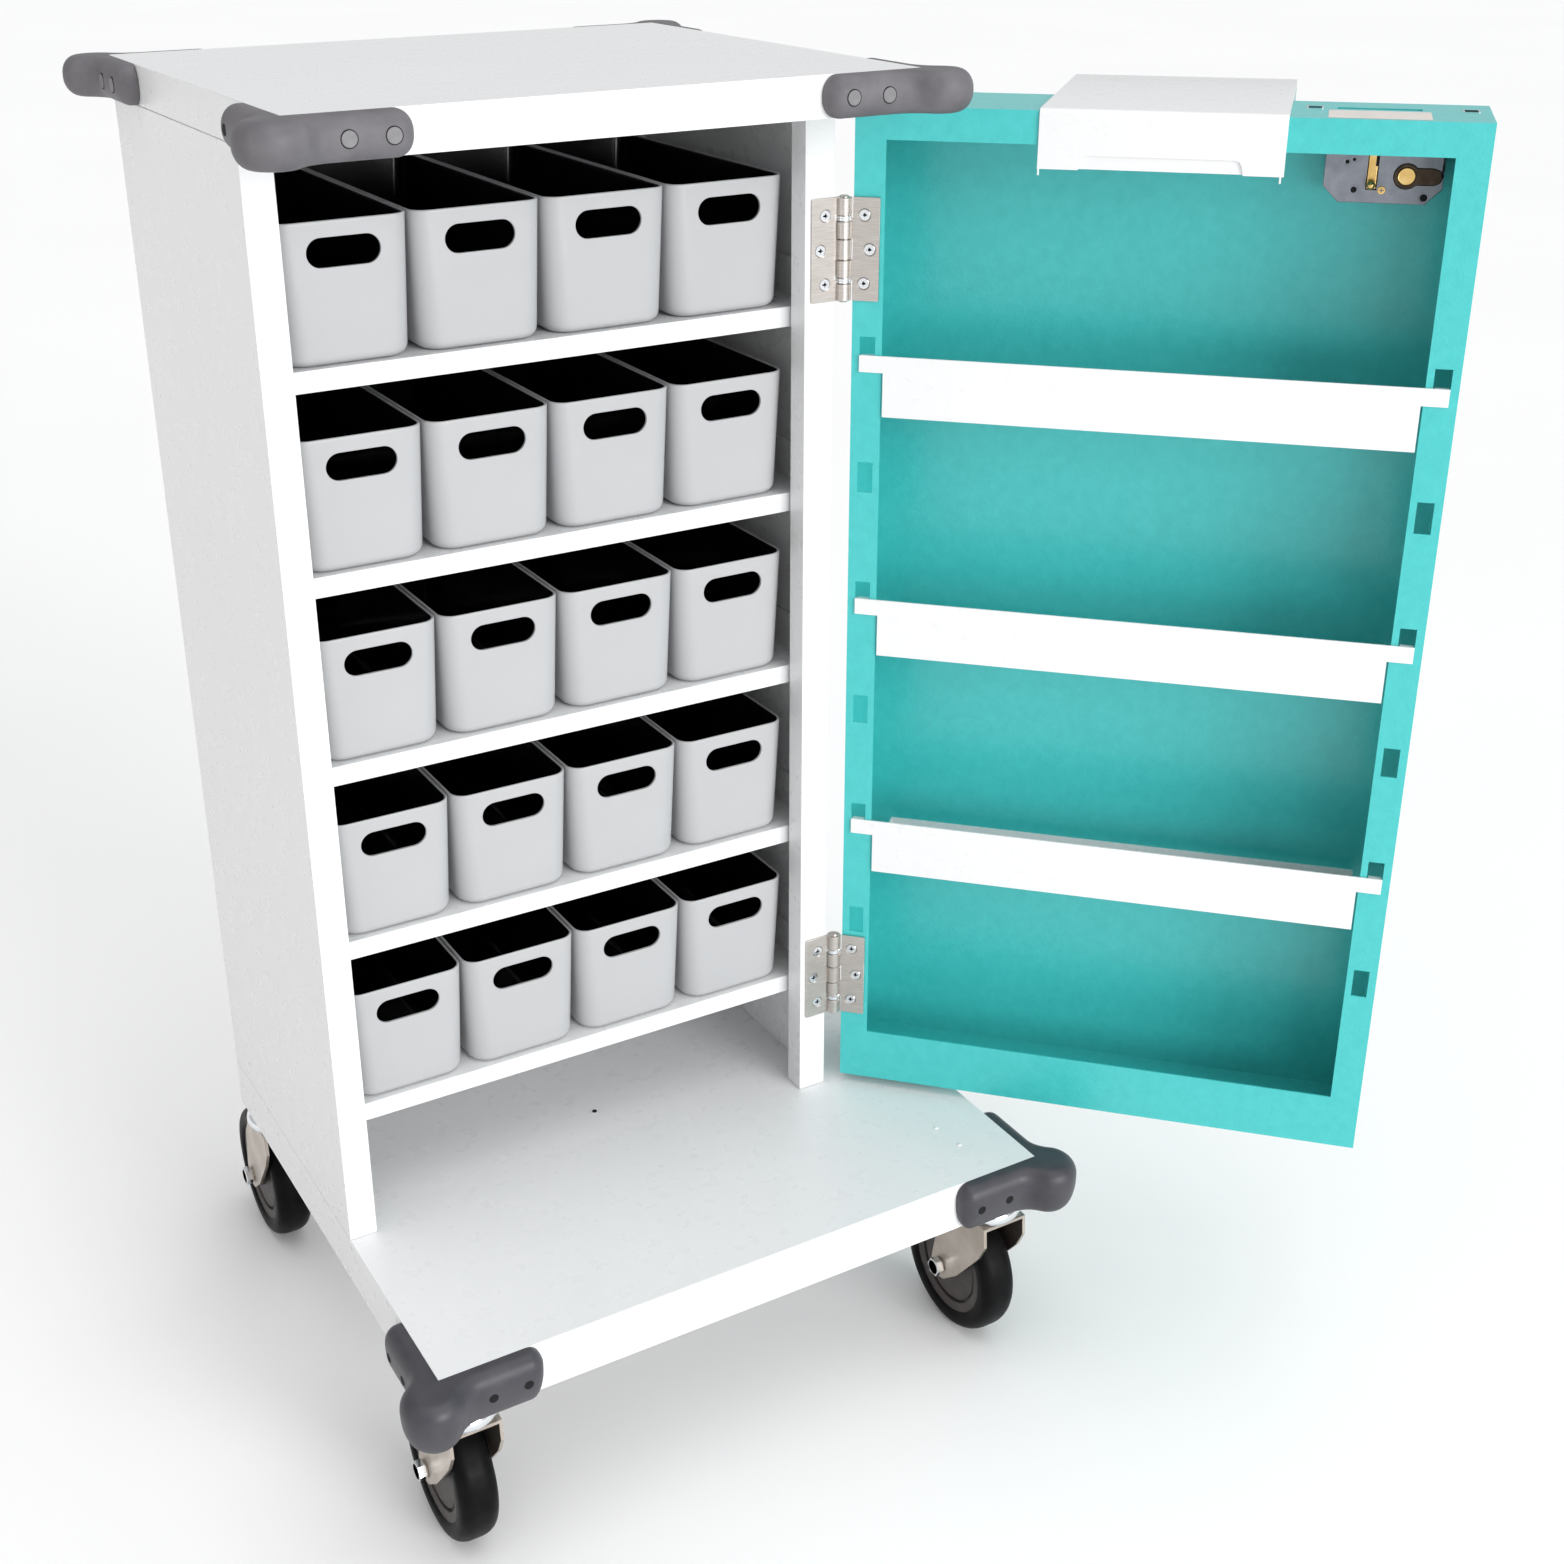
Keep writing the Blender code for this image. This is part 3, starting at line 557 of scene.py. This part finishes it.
def bin_mesh(width, length, height):
    """A moulded tub: a curved foot, a rolled rim and an inner lining wall."""
    taper_x, taper_y = 0.0055, 0.004
    steps = 8

    def ring(level, inset, corner):
        share = level / height
        w = width - taper_x * (1 - share) - 2 * inset
        d = length - taper_y * (1 - share) - 2 * inset
        outline = rounded_rectangle(w, d, max(corner - inset, 0.001), steps)
        return [(x, y, level) for x, y in outline]

    def corner_at(level):
        return BIN_FOOT_CORNER + (BIN_RIM_CORNER - BIN_FOOT_CORNER) * level / height

    outside = []
    for degrees in (0, 22, 45, 68, 90):
        a = math.radians(degrees)
        level = BIN_FOOT_CURVE * (1 - math.sin(a))
        outside.append(ring(level, BIN_FOOT_CURVE * (1 - math.cos(a)), corner_at(level)))
    outside.reverse()
    outside += [ring(height * part, 0, corner_at(height * part)) for part in (0.35, 0.7, 0.97)]
    bead = BIN_WALL / 2
    rim = []
    for degrees in (0, 30, 60, 90, 120, 150, 180):
        a = math.radians(degrees)
        rim.append(ring(height - bead + bead * math.sin(a), bead - bead * math.cos(a), BIN_RIM_CORNER))
    lining = [ring(height * part, BIN_WALL, corner_at(height * part)) for part in (0.97, 0.5)]
    for degrees in (0, 22, 45, 68, 90):
        a = math.radians(degrees)
        level = BIN_WALL + BIN_FOOT_CURVE * (1 - math.sin(a))
        inset = BIN_WALL + BIN_FOOT_CURVE * (1 - math.cos(a))
        lining.append(ring(level, inset, corner_at(level)))
    return loft(outside + rim + lining, "bin")


HOLE_WIDTH, HOLE_TALL, HOLE_DROP = 0.052, 0.020, 0.011


def hand_hole_cut(tub, length, height):
    """The tub with an oval hand hole through its front wall."""
    half, radius = HOLE_WIDTH / 2 - HOLE_TALL / 2, HOLE_TALL / 2
    level = height - HOLE_DROP - radius
    outline = arc((half, level), radius, -90, 90, 14) + arc((-half, level), radius, 90, 270, 14)
    return cut(tub, prism(outline, "Y", -length / 2 - 0.01, -length / 2 + 0.02))


def black_lining(mesh, width, length, height):
    """Faces of the inside take the second material."""
    depth = BIN_WALL * 0.9
    for face in mesh.polygons:
        x, y, z = face.center
        normal = face.normal
        inward = x * normal.x + y * normal.y < 0 or (z < 0.02 and normal.z > 0.5)
        clear = abs(x) < width / 2 - depth and abs(y) < length / 2 - depth
        face.material_index = 1 if inward and clear and z < height - 0.0008 else 0


def bins():
    low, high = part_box("bin_1_1")
    width, length, height = high - low
    tub = hand_hole_cut(bin_mesh(width, length, height), length, height)
    for row in range(1, 6):
        for column in range(1, 5):
            name = f"bin_{row}_{column}"
            low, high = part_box(name)
            middle = Vector(((low.x + high.x) / 2, (low.y + high.y) / 2, low.z))
            mesh = tub.copy()
            piece = add(name + "_tub", mesh, [BIN_GREY, BIN_BLACK], name, "bin_plastic",
                        Matrix.Translation(middle), sharp=40)
            black_lining(mesh, width, length, height)
            soften(piece, 0.0005, 2, 50)
            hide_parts(name)


# ---------------------------------------------------------------- bumpers

BUMPER_REACH = 0.080
BUMPER_DEPTH = 0.015
BUMPER_BALL = 0.024
BALL_OFFSET = 0.008
BLEND_RADIUS = 0.020
LEG_END = 0.0118
DEEPEST_INSET = 0.0112


def bumper_ring(inset, height):
    """One level of a bumper about a panel corner that fills +x and +y, drawn in by the inset."""
    ball = BUMPER_BALL - inset
    blend = BLEND_RADIUS + inset
    down = BUMPER_DEPTH + BLEND_RADIUS - BALL_OFFSET
    along = math.sqrt((BUMPER_BALL + BLEND_RADIUS) ** 2 - down ** 2)
    centre = (along - BALL_OFFSET, -BALL_OFFSET - down)
    lean = math.degrees(math.atan2(down, along))
    end = LEG_END - inset
    middle = BUMPER_REACH - LEG_END
    leg = arc((middle, LEG_END - BUMPER_DEPTH), end, 0, -90, 6)
    leg += arc(centre, blend, 90, 180 - lean, 6)
    corner = arc((-BALL_OFFSET, -BALL_OFFSET), ball, -lean, -270 + lean, 22)[1:-1]
    other_leg = [(y, x) for x, y in reversed(leg)]
    reach = BUMPER_REACH - inset
    points = [(0, 0), (reach, 0)] + leg + corner + other_leg + [(0, reach)]
    return [(x, y, height) for x, y in points]


def bumper_mesh(height, below, above, inset):
    """A rounded section: thin where it meets the panel's edges, with its roundings below and above."""
    lower = []
    upper = []
    for degrees in (0, 10, 20, 32, 44, 56, 68, 79, 90):
        a = math.radians(degrees)
        drawn_in = inset * (1 - math.sin(a))
        lower.append(bumper_ring(drawn_in, below * (1 - math.cos(a))))
        upper.append(bumper_ring(drawn_in, height - above * (1 - math.cos(a))))
    upper.reverse()
    return loft(lower + upper, "bumper")


def disc(radius, out, rim=0.0003):
    """A thin disc with a soft edge that stands out from its face along +Z."""
    return turned([(0, -0.001), (radius, -0.001), (radius, out - rim), (radius - rim, out), (0, out)], 36)


def bumpers():
    corners = {
        "bumper_top_front_left": ("top_cap", 0, 0, 0), "bumper_top_front_right": ("top_cap", 1, 0, 1),
        "bumper_top_back_right": ("top_cap", 1, 1, 2), "bumper_top_back_left": ("top_cap", 0, 1, 3),
        "bumper_base_front_left": ("base_platform", 0, 0, 0),
        "bumper_base_front_right": ("base_platform", 1, 0, 1),
    }
    clear = 0.0003
    for name, (panel, right, back, quarters) in corners.items():
        low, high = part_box(panel)
        corner = Vector((high.x + clear if right else low.x - clear,
                         high.y + clear if back else low.y - clear, low.z))
        matrix = Matrix.Translation(corner) @ Matrix.Rotation(math.pi / 2 * quarters, 4, "Z")
        height = high.z - low.z
        open_holes = panel == "base_platform"
        # The base bumpers take the darker copy of the rubber: painted shade.
        rubber = SHADED_BUMPER_RUBBER if open_holes else RUBBER
        below, above = (0.62, 0.30) if open_holes else (0.46, 0.46)
        mesh = bumper_mesh(height, height * below, height * above, DEEPEST_INSET)
        piece = add(name + "_rubber", mesh, rubber, "cabinet", "grey_rubber", matrix, sharp=50)
        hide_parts(name)
        for leg in (0, 1):
            for number, along in enumerate((0.036, 0.064), start=1):
                spot = (along, -BUMPER_DEPTH) if leg == 0 else (-BUMPER_DEPTH, along)
                out = (0, -1, 0) if leg == 0 else (-1, 0, 0)
                level = height * (0.52 if open_holes else 0.5)
                local = Matrix.Translation((*spot, level)) @ facing(out)
                label = f"{name}_mark_{leg + 1}_{number}"
                open_here = open_holes or (name.endswith("left") and leg == 1)
                radius = 0.0037 if open_here else 0.0056
                at = matrix @ local
                # A near-black disc paints the shade in each open hole and in the gap round each plug.
                add(label + "_recess", disc(radius, 0.00012, 0.0001), PAINTED_SHADE, "cabinet", "grey_rubber", at)
                if not open_here:
                    add(label + "_plug", disc(0.0050, 0.0005), PLUG, "cabinet", "grey_rubber", at)


# ---------------------------------------------------------------- castors

WHEEL_RADIUS, WHEEL_WIDTH = 0.0625, 0.032
NUT_WIDTH, NUT_LENGTH = 0.0145, 0.0066


def hexagon(width, length):
    """A hexagon bar along X with chamfered corners."""
    radius = width / math.sqrt(3)
    chamfer = 0.0006
    rings = []
    small = radius - chamfer
    turns = [math.tau * i / 6 for i in range(6)]
    for x, r in ((0, small), (chamfer, radius), (length - chamfer, radius), (length, small)):
        rings.append([(x, r * math.cos(a), r * math.sin(a)) for a in turns])
    return loft(rings, "hexagon")


def castor_head_mesh(radius):
    """Raceway cap, seen from its seat at 0 down to the ball race."""
    profile = [(0, 0), (radius - 0.006, 0), (radius - 0.0052, -0.0008), (radius - 0.0040, -0.0030)]
    profile += [(radius - 0.0016, -0.0052), (radius - 0.0004, -0.0072), (radius, -0.0098), (radius, -0.0118)]
    profile += [(radius - 0.0006, -0.0128), (radius - 0.0030, -0.0134), (radius - 0.0034, -0.0142)]
    profile += [(radius - 0.0022, -0.0150), (radius - 0.0026, -0.0155), (0, -0.0155)]
    return turned(profile, 64)


def tyre_mesh(radius, width):
    half = width / 2
    side = [(0.0465, half - 0.0012), (0.0480, half - 0.0002), (0.0520, half)]
    for degrees in (0, 15, 30, 45, 60, 75, 88):
        a = math.radians(degrees)
        side.append((0.0545 + (radius - 0.0545) * math.sin(a), 0.004 + (half - 0.004) * math.cos(a)))
    profile = [(0.0440, half - 0.0040)] + side
    return turned(profile + [(r, -x) for r, x in reversed(profile)], 96, "X")


def hub_mesh(width):
    half = width / 2
    side = [
        (0.0044, half + 0.0010), (0.0118, half + 0.0010), (0.0124, half + 0.0004), (0.0130, half - 0.0034),
        (0.0150, half - 0.0040), (0.0345, half - 0.0040), (0.0352, half - 0.0046), (0.0356, half - 0.0062),
        (0.0372, half - 0.0062), (0.0376, half - 0.0036), (0.0384, half - 0.0030), (0.0462, half - 0.0022),
        (0.0467, half - 0.0030),
    ]
    return turned(side + [(r, -x) for r, x in reversed(side)], 96, "X")


def castors():
    radius, width = WHEEL_RADIUS, WHEEL_WIDTH
    for place in PLACES:
        swivel = JOINTS[f"{place}_swivel"]["pos_m"]
        axle = Vector(JOINTS[f"{place}_roll"]["pos_m"])
        head_low, head_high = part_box(f"castor_{place}_head")
        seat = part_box("base_platform")[0].z - 0.0003
        head_mesh = castor_head_mesh((head_high.x - head_low.x) / 2)
        head_at = Matrix.Translation((swivel[0], swivel[1], seat))
        head = add(f"castor_{place}_raceway", head_mesh, ZINC, "cabinet", "zinc_plate", head_at, sharp=40)
        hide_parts(f"castor_{place}_head")
        refined(f"castor_{place}_fork", FORK, f"{place}_fork", "fork_steel", 0.0010)
        fork_low, fork_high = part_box(f"castor_{place}_fork")
        nut = hexagon(NUT_WIDTH, NUT_LENGTH)
        wheel_at = Matrix.Translation(axle)
        ends = (("nut", fork_low.x - axle.x), ("bolt_head", fork_high.x - axle.x - NUT_LENGTH))
        for side, x in ends:
            at = wheel_at @ Matrix.Translation((x, 0, 0))
            add(f"castor_{place}_{side}", nut.copy(), ZINC, f"{place}_fork", "zinc_plate", at, sharp=25)
        rubber = (f"{place}_wheel", "wheel_rubber", wheel_at)
        wheel = add(f"castor_{place}_tyre", tyre_mesh(radius, width), TYRE, *rubber, sharp=60)
        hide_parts(f"castor_{place}_wheel")
        add(f"castor_{place}_hub", hub_mesh(width), HUB, *rubber, sharp=28)


# ---------------------------------------------------------------- hinges and screws

LEAF_NEAR, LEAF_FAR, LEAF_START, LEAF_REACH = 0.0004, 0.0022, 0.0068, 0.027
KNUCKLE_RADIUS, KNUCKLES = 0.006, 5


def screw_mesh(radius=0.0036):
    """A countersunk head with a cross recess, its face at the origin, looking along +Z."""
    cone = [(0, -0.0012), (radius * 0.55, -0.0012), (radius, -0.0003)]
    face = [(radius, 0), (radius * 0.94, 0.0002), (0, 0.0003)]
    head = turned(cone + face, 32)
    slot = radius * 0.13
    for wide, tall in ((slot, radius * 0.55), (radius * 0.55, slot)):
        head = cut(head, box((-wide, -tall, -0.0006), (wide, tall, 0.002)))
    return head


def knuckle_mesh(z0, z1):
    edge = 0.0004
    r = KNUCKLE_RADIUS
    return turned([(0, z0), (r - edge, z0), (r, z0 + edge), (r, z1 - edge), (r - edge, z1), (0, z1)], 40)


def knuckle_gap(row, upper):
    """Room between a knuckle and its neighbour: wide where a bearing ring sits."""
    at_ring = (row, upper) in ((0, 1), (1, 0), (3, 1), (4, 0))
    return 0.0023 if at_ring else 0.00025


def leaf_plate(side, height, rows):
    """A leaf's flat with round corners on its far edge and a tab to each of its knuckles."""
    bottom, pitch = -height / 2, height / KNUCKLES
    corner = 0.0012
    far = LEAF_REACH
    outline = [(LEAF_START, bottom)]
    outline += arc((far - corner, bottom + corner), corner, -90, 0, 5)
    outline += arc((far - corner, -bottom - corner), corner, 0, 90, 5)
    outline += [(LEAF_START, -bottom)]
    for row in reversed(range(KNUCKLES)):
        if row in rows:
            z1 = bottom + pitch * (row + 1) - (0.00015 if row < KNUCKLES - 1 else 0)
            z0 = bottom + pitch * row + (0.00015 if row else 0)
            outline += [(LEAF_START, z1), (0.002, z1), (0.002, z0), (LEAF_START, z0)]
    cleaned = [p for i, p in enumerate(outline) if p != outline[i - 1]]
    return prism([(side * x, z) for x, z in cleaned], "Y", LEAF_NEAR, LEAF_FAR)


def hinge(place):
    for end, side, rows, matrix, body in (
        ("post_leaf", -1, (0, 2, 4), POST_FRAME, "cabinet"),
        ("door_leaf", 1, (1, 3), DOOR_FRAME, "door"),
    ):
        node = f"hinge_{place}_{end}"
        low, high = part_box(f"hinge_{place}_door_leaf")
        height, middle = high.z - low.z, (low.z + high.z) / 2
        at = matrix @ Matrix.Translation((0, 0, middle))
        plate = leaf_plate(side, height, rows)
        spots = [(side * 0.0155, height * 0.33), (side * 0.0195, 0.0), (side * 0.0155, -height * 0.33)]
        steps = ((0, -0.001), (0.0052, -0.001), (0.0048, 0.0002), (0.0038, 0.0014), (0, 0.0014))
        countersink = [(radius, LEAF_NEAR + depth) for radius, depth in steps]
        for x, z in spots:
            sink = turned(countersink, 32, "Y")
            plate = cut(plate, moved(sink, (x, 0, z)))
        steel = (body, "hinge_steel")
        piece = add(node + "_plate", plate, HINGE, *steel, at, sharp=25, bevel=0.00015, segments=2)
        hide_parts(node)
        pitch = height / KNUCKLES
        barrels = []
        for row in rows:
            z0 = -height / 2 + pitch * row + knuckle_gap(row, 0)
            z1 = -height / 2 + pitch * (row + 1) - knuckle_gap(row, 1)
            barrels.append(knuckle_mesh(z0, z1))
        if end == "post_leaf":
            tip = height / 2
            barrels.append(turned([(0, -tip - 0.001), (0.0030, -tip - 0.001), (0.0036, -tip), (0.0036, tip),
                                   (0.0030, tip + 0.001), (0, tip + 0.001)], 32))
        add(node + "_knuckles", joined(barrels), HINGE, *steel, at, sharp=30)
        if end == "post_leaf":
            for level, z in (("high", pitch * 1.5), ("low", -pitch * 1.5)):
                ring = turned([(0.0038, -0.0020), (0.0054, -0.0020), (0.0058, -0.0015), (0.0058, -0.0002),
                               (0.0055, 0.0), (0.0058, 0.0002), (0.0058, 0.0015), (0.0054, 0.0020),
                               (0.0038, 0.0020)], 40)
                where = at @ Matrix.Translation((0, 0, z))
                add(f"hinge_{place}_bearing_{level}", ring, ZINC, *steel, where, sharp=30)
        for number, (x, z) in enumerate(spots, start=1):
            where = at @ Matrix.Translation((x, LEAF_NEAR + 0.0006, z)) @ facing((0, -1, 0))
            add(f"{node}_screw_{number}", screw_mesh(0.0042), ZINC, *steel, where, sharp=30)
            # A near-black disc over each screw's cross recess paints its shade.
            add(f"{node}_recess_{number}", disc(0.0012, 0.0004, 0.0001), PAINTED_SHADE, *steel, where)


# ---------------------------------------------------------------- lock

PIN_BALL = 0.0031


def on_door(x, y, z):
    """A place in the door's own frame."""
    return DOOR_FRAME @ Matrix.Translation((x, y, z))


def lock_parts():
    refined("lock_case", LOCK, "door", "lock_steel", 0.0006)
    refined("lock_cylinder", BRONZE, "door", "dark_bronze", 0.0005)
    turn = DOOR_FRAME.inverted() @ Vector(JOINTS["lock_plug_turn"]["pos_m"])
    rings = [(0, 0.0)] + [(0.0007 * i + 0.0002, 0.00012 if i % 2 else 0.0) for i in range(1, 8)]
    profile = rings + [(0.0057, 0.0), (0.0062, 0.0005), (0.0062, 0.0140), (0, 0.0140)]
    plug = add("lock_plug_face", turned(profile, 48, "Y"), BRASS, "lock_plug", "brass",
               on_door(turn.x, CASE_FACE - 0.0014, turn.z), sharp=50)
    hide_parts("lock_plug")
    refined("lock_bolt", BRASS, "lock_bolt", "brass", 0.0007)
    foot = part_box("lock_bolt")[0].z
    toward = facing((0, -1, 0))
    angles = [math.radians(a) for a in range(0, 181, 20)]
    ball = [(PIN_BALL * math.sin(a), 0.0012 - PIN_BALL * math.cos(a) + 0.0019) for a in angles]
    ball[0], ball[-1] = (0, ball[0][1]), (0, ball[-1][1])
    add("lock_bolt_pin", turned(ball, 28), BRASS, "lock_bolt", "brass",
        on_door(BOLT_MIDDLE - 0.0002, CASE_FACE - 0.0022, foot + 0.0034) @ toward, sharp=60)
    # The slit is a flat near-black strip: painted shade.
    slit = box((-0.0007, -0.0001, 0), (0.0007, 0.0002, 0.0075))
    slit_at = on_door(BOLT_MIDDLE + 0.0024, CASE_FACE - 0.0001, foot + 0.016)
    add("lock_bolt_slit", slit, PAINTED_SHADE, "lock_bolt", "brass", slit_at)
    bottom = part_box("lock_case")[0].z
    for number, (x, z, radius) in enumerate(CASE_HOLES, start=1):
        outer = radius + 0.0012
        profile = [(radius, -0.0004), (outer, -0.0004), (outer - 0.0002, 0.00035), (radius, 0.0002)]
        seat = turned(profile, 28)
        at = on_door(x, CASE_FACE, bottom + z) @ toward
        add(f"lock_case_seat_{number}", seat, LOCK, "door", "lock_steel", at)
        # A near-black disc in each punched hole paints the shade behind it.
        add(f"lock_case_hole_{number}", disc(radius, 0.0001, 0.00005), PAINTED_SHADE, "door", "lock_steel", at)
    add("lock_case_screw", screw_mesh(0.0028), BRASS, "door", "brass",
        on_door(0.3783, CASE_FACE - 0.0004, bottom + 0.0092) @ toward, sharp=30)


def door_label():
    """A plain blank label on the door's top edge, in front of the bolt slot."""
    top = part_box("door_pan")[1].z
    sheet = box((0.3365, 0.0075, 0), (0.4050, 0.0480, 0.00018))
    at = on_door(0, 0, top + 0.00002)
    add("door_label", sheet, LABEL, "door", "white_paint", at, bevel=0.00006, segments=1)


CATCH_HOLES = (0.327, 0.4322)


def catch_rims():
    """Bright punched edges round the two square catch holes on the door's top edge."""
    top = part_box("door_pan")[1].z
    for number, x in enumerate(CATCH_HOLES, start=1):
        outer = rounded_rectangle(0.0116, 0.0140, 0.0012, 3)
        inner = rounded_rectangle(0.0092, 0.0116, 0.0008, 3)
        rings = [[(p, q, z) for p, q in ring] for ring, z in (
            (inner, -0.0020), (outer, -0.0002), (outer, 0.0003), (inner, 0.0003), (inner, -0.0020))]
        mesh = loft(rings, "rim", ends=False)
        add(f"catch_rim_{number}", mesh, ZINC, "door", "zinc_plate", on_door(x, CASE_FACE + 0.004, top))


def outside_lock_face():
    """Rose and key slot on the door's outer face, round the cylinder."""
    turn = DOOR_FRAME.inverted() @ Vector(JOINTS["lock_plug_turn"]["pos_m"])
    middle = (turn.x + 0.0077, turn.z)
    layers = (
        (0.0480, 0.0300, 0.0145, 0.0),
        (0.0480, 0.0300, 0.0145, 0.0016),
        (0.0464, 0.0284, 0.0137, 0.0023),
    )
    rings = [[(x, DOOR_OUTSIDE + rise, z) for x, z in rounded_rectangle(wide, tall, corner, 12, middle)]
             for wide, tall, corner, rise in layers]
    add("lock_rose", loft(rings, "rose"), ZINC, "door", "zinc_plate", DOOR_FRAME, sharp=30)
    # The key slot is a flat near-black strip: painted shade.
    slot = box((turn.x - 0.0007, 0.0974, turn.z - 0.0042), (turn.x + 0.0007, 0.0976, turn.z + 0.0042))
    add("lock_key_slot", slot, PAINTED_SHADE, "door", "brass", DOOR_FRAME)


# ---------------------------------------------------------------- stage

def floor():
    shape = bmesh.new()
    bmesh.ops.create_grid(shape, x_segments=1, y_segments=1, size=30.0)
    mesh = bpy.data.meshes.new("floor")
    shape.to_mesh(mesh)
    shape.free()
    plane = bpy.data.objects.new("floor", mesh)
    bpy.context.scene.collection.objects.link(plane)
    surface = Surface("pale_floor", 0.7, specular=0.2)
    surface.colour(surface.ramp(surface.noise(0.7, 2), shades((0.93, 0.93, 0.93), 0.008)))
    mesh.materials.append(surface.material)


def area_light(name, spot, target, size, power, colour=(1, 1, 1)):
    light = bpy.data.lights.new(name, "AREA")
    light.shape = "RECTANGLE"
    light.size, light.size_y = size
    light.energy = power
    light.color = colour
    lamp = bpy.data.objects.new(name, light)
    lamp.location = spot
    lamp.rotation_euler = (Vector(target) - Vector(spot)).to_track_quat("-Z", "Y").to_euler()
    bpy.context.scene.collection.objects.link(lamp)


def sun(name, toward, strength, spread, colour=(1, 1, 1)):
    """A distant soft light that shines from a direction."""
    light = bpy.data.lights.new(name, "SUN")
    light.energy = strength
    light.angle = math.radians(spread)
    light.color = colour
    lamp = bpy.data.objects.new(name, light)
    lamp.rotation_euler = Vector(toward).to_track_quat("Z", "Y").to_euler()
    bpy.context.scene.collection.objects.link(lamp)


def lights():
    sun("overhead", (0.15, -0.20, 1.0), 1.05, 60)
    sun("front_right", (0.25, -1.0, 0.30), 1.75, 30)
    area_light("left_warm", (-2.6, -0.3, 0.9), (0, 0, 0.5), (1.2, 1.6), 2.0, (1.0, 0.80, 0.64))
    area_light("low_fill", (-0.2, -2.3, 0.75), (0, 0.2, 0.30), (1.0, 0.5), 8.0)
    world = bpy.data.worlds.new("studio")
    world.use_nodes = True
    back = world.node_tree.nodes["Background"]
    back.inputs["Color"].default_value = (0.985, 0.99, 1.0, 1.0)
    back.inputs["Strength"].default_value = 0.60
    bpy.context.scene.world = world
    bpy.context.scene.view_settings.view_transform = "Standard"


def camera():
    """Stands front left of the cabinet at head height, turned to the right and tilted down."""
    lens = bpy.data.cameras.new("camera")
    lens.sensor_width = 36.0
    lens.lens = 47.016
    lens.shift_x = 0.0279
    lens.shift_y = -0.0305
    eye = bpy.data.objects.new("camera", lens)
    eye.location = (-0.7758, -1.3222, 1.2263)
    eye.rotation_euler = [math.radians(a) for a in (65.761, 0.391, -29.754)]
    bpy.context.scene.collection.objects.link(eye)
    bpy.context.scene.camera = eye


sheet_parts()
rivets()
deck_hole_shade()
bins()
bumpers()
castors()
for hinge_place in ("upper", "lower"):
    hinge(hinge_place)
lock_parts()
door_label()
catch_rims()
outside_lock_face()
document_holder()
floor()
lights()
camera()
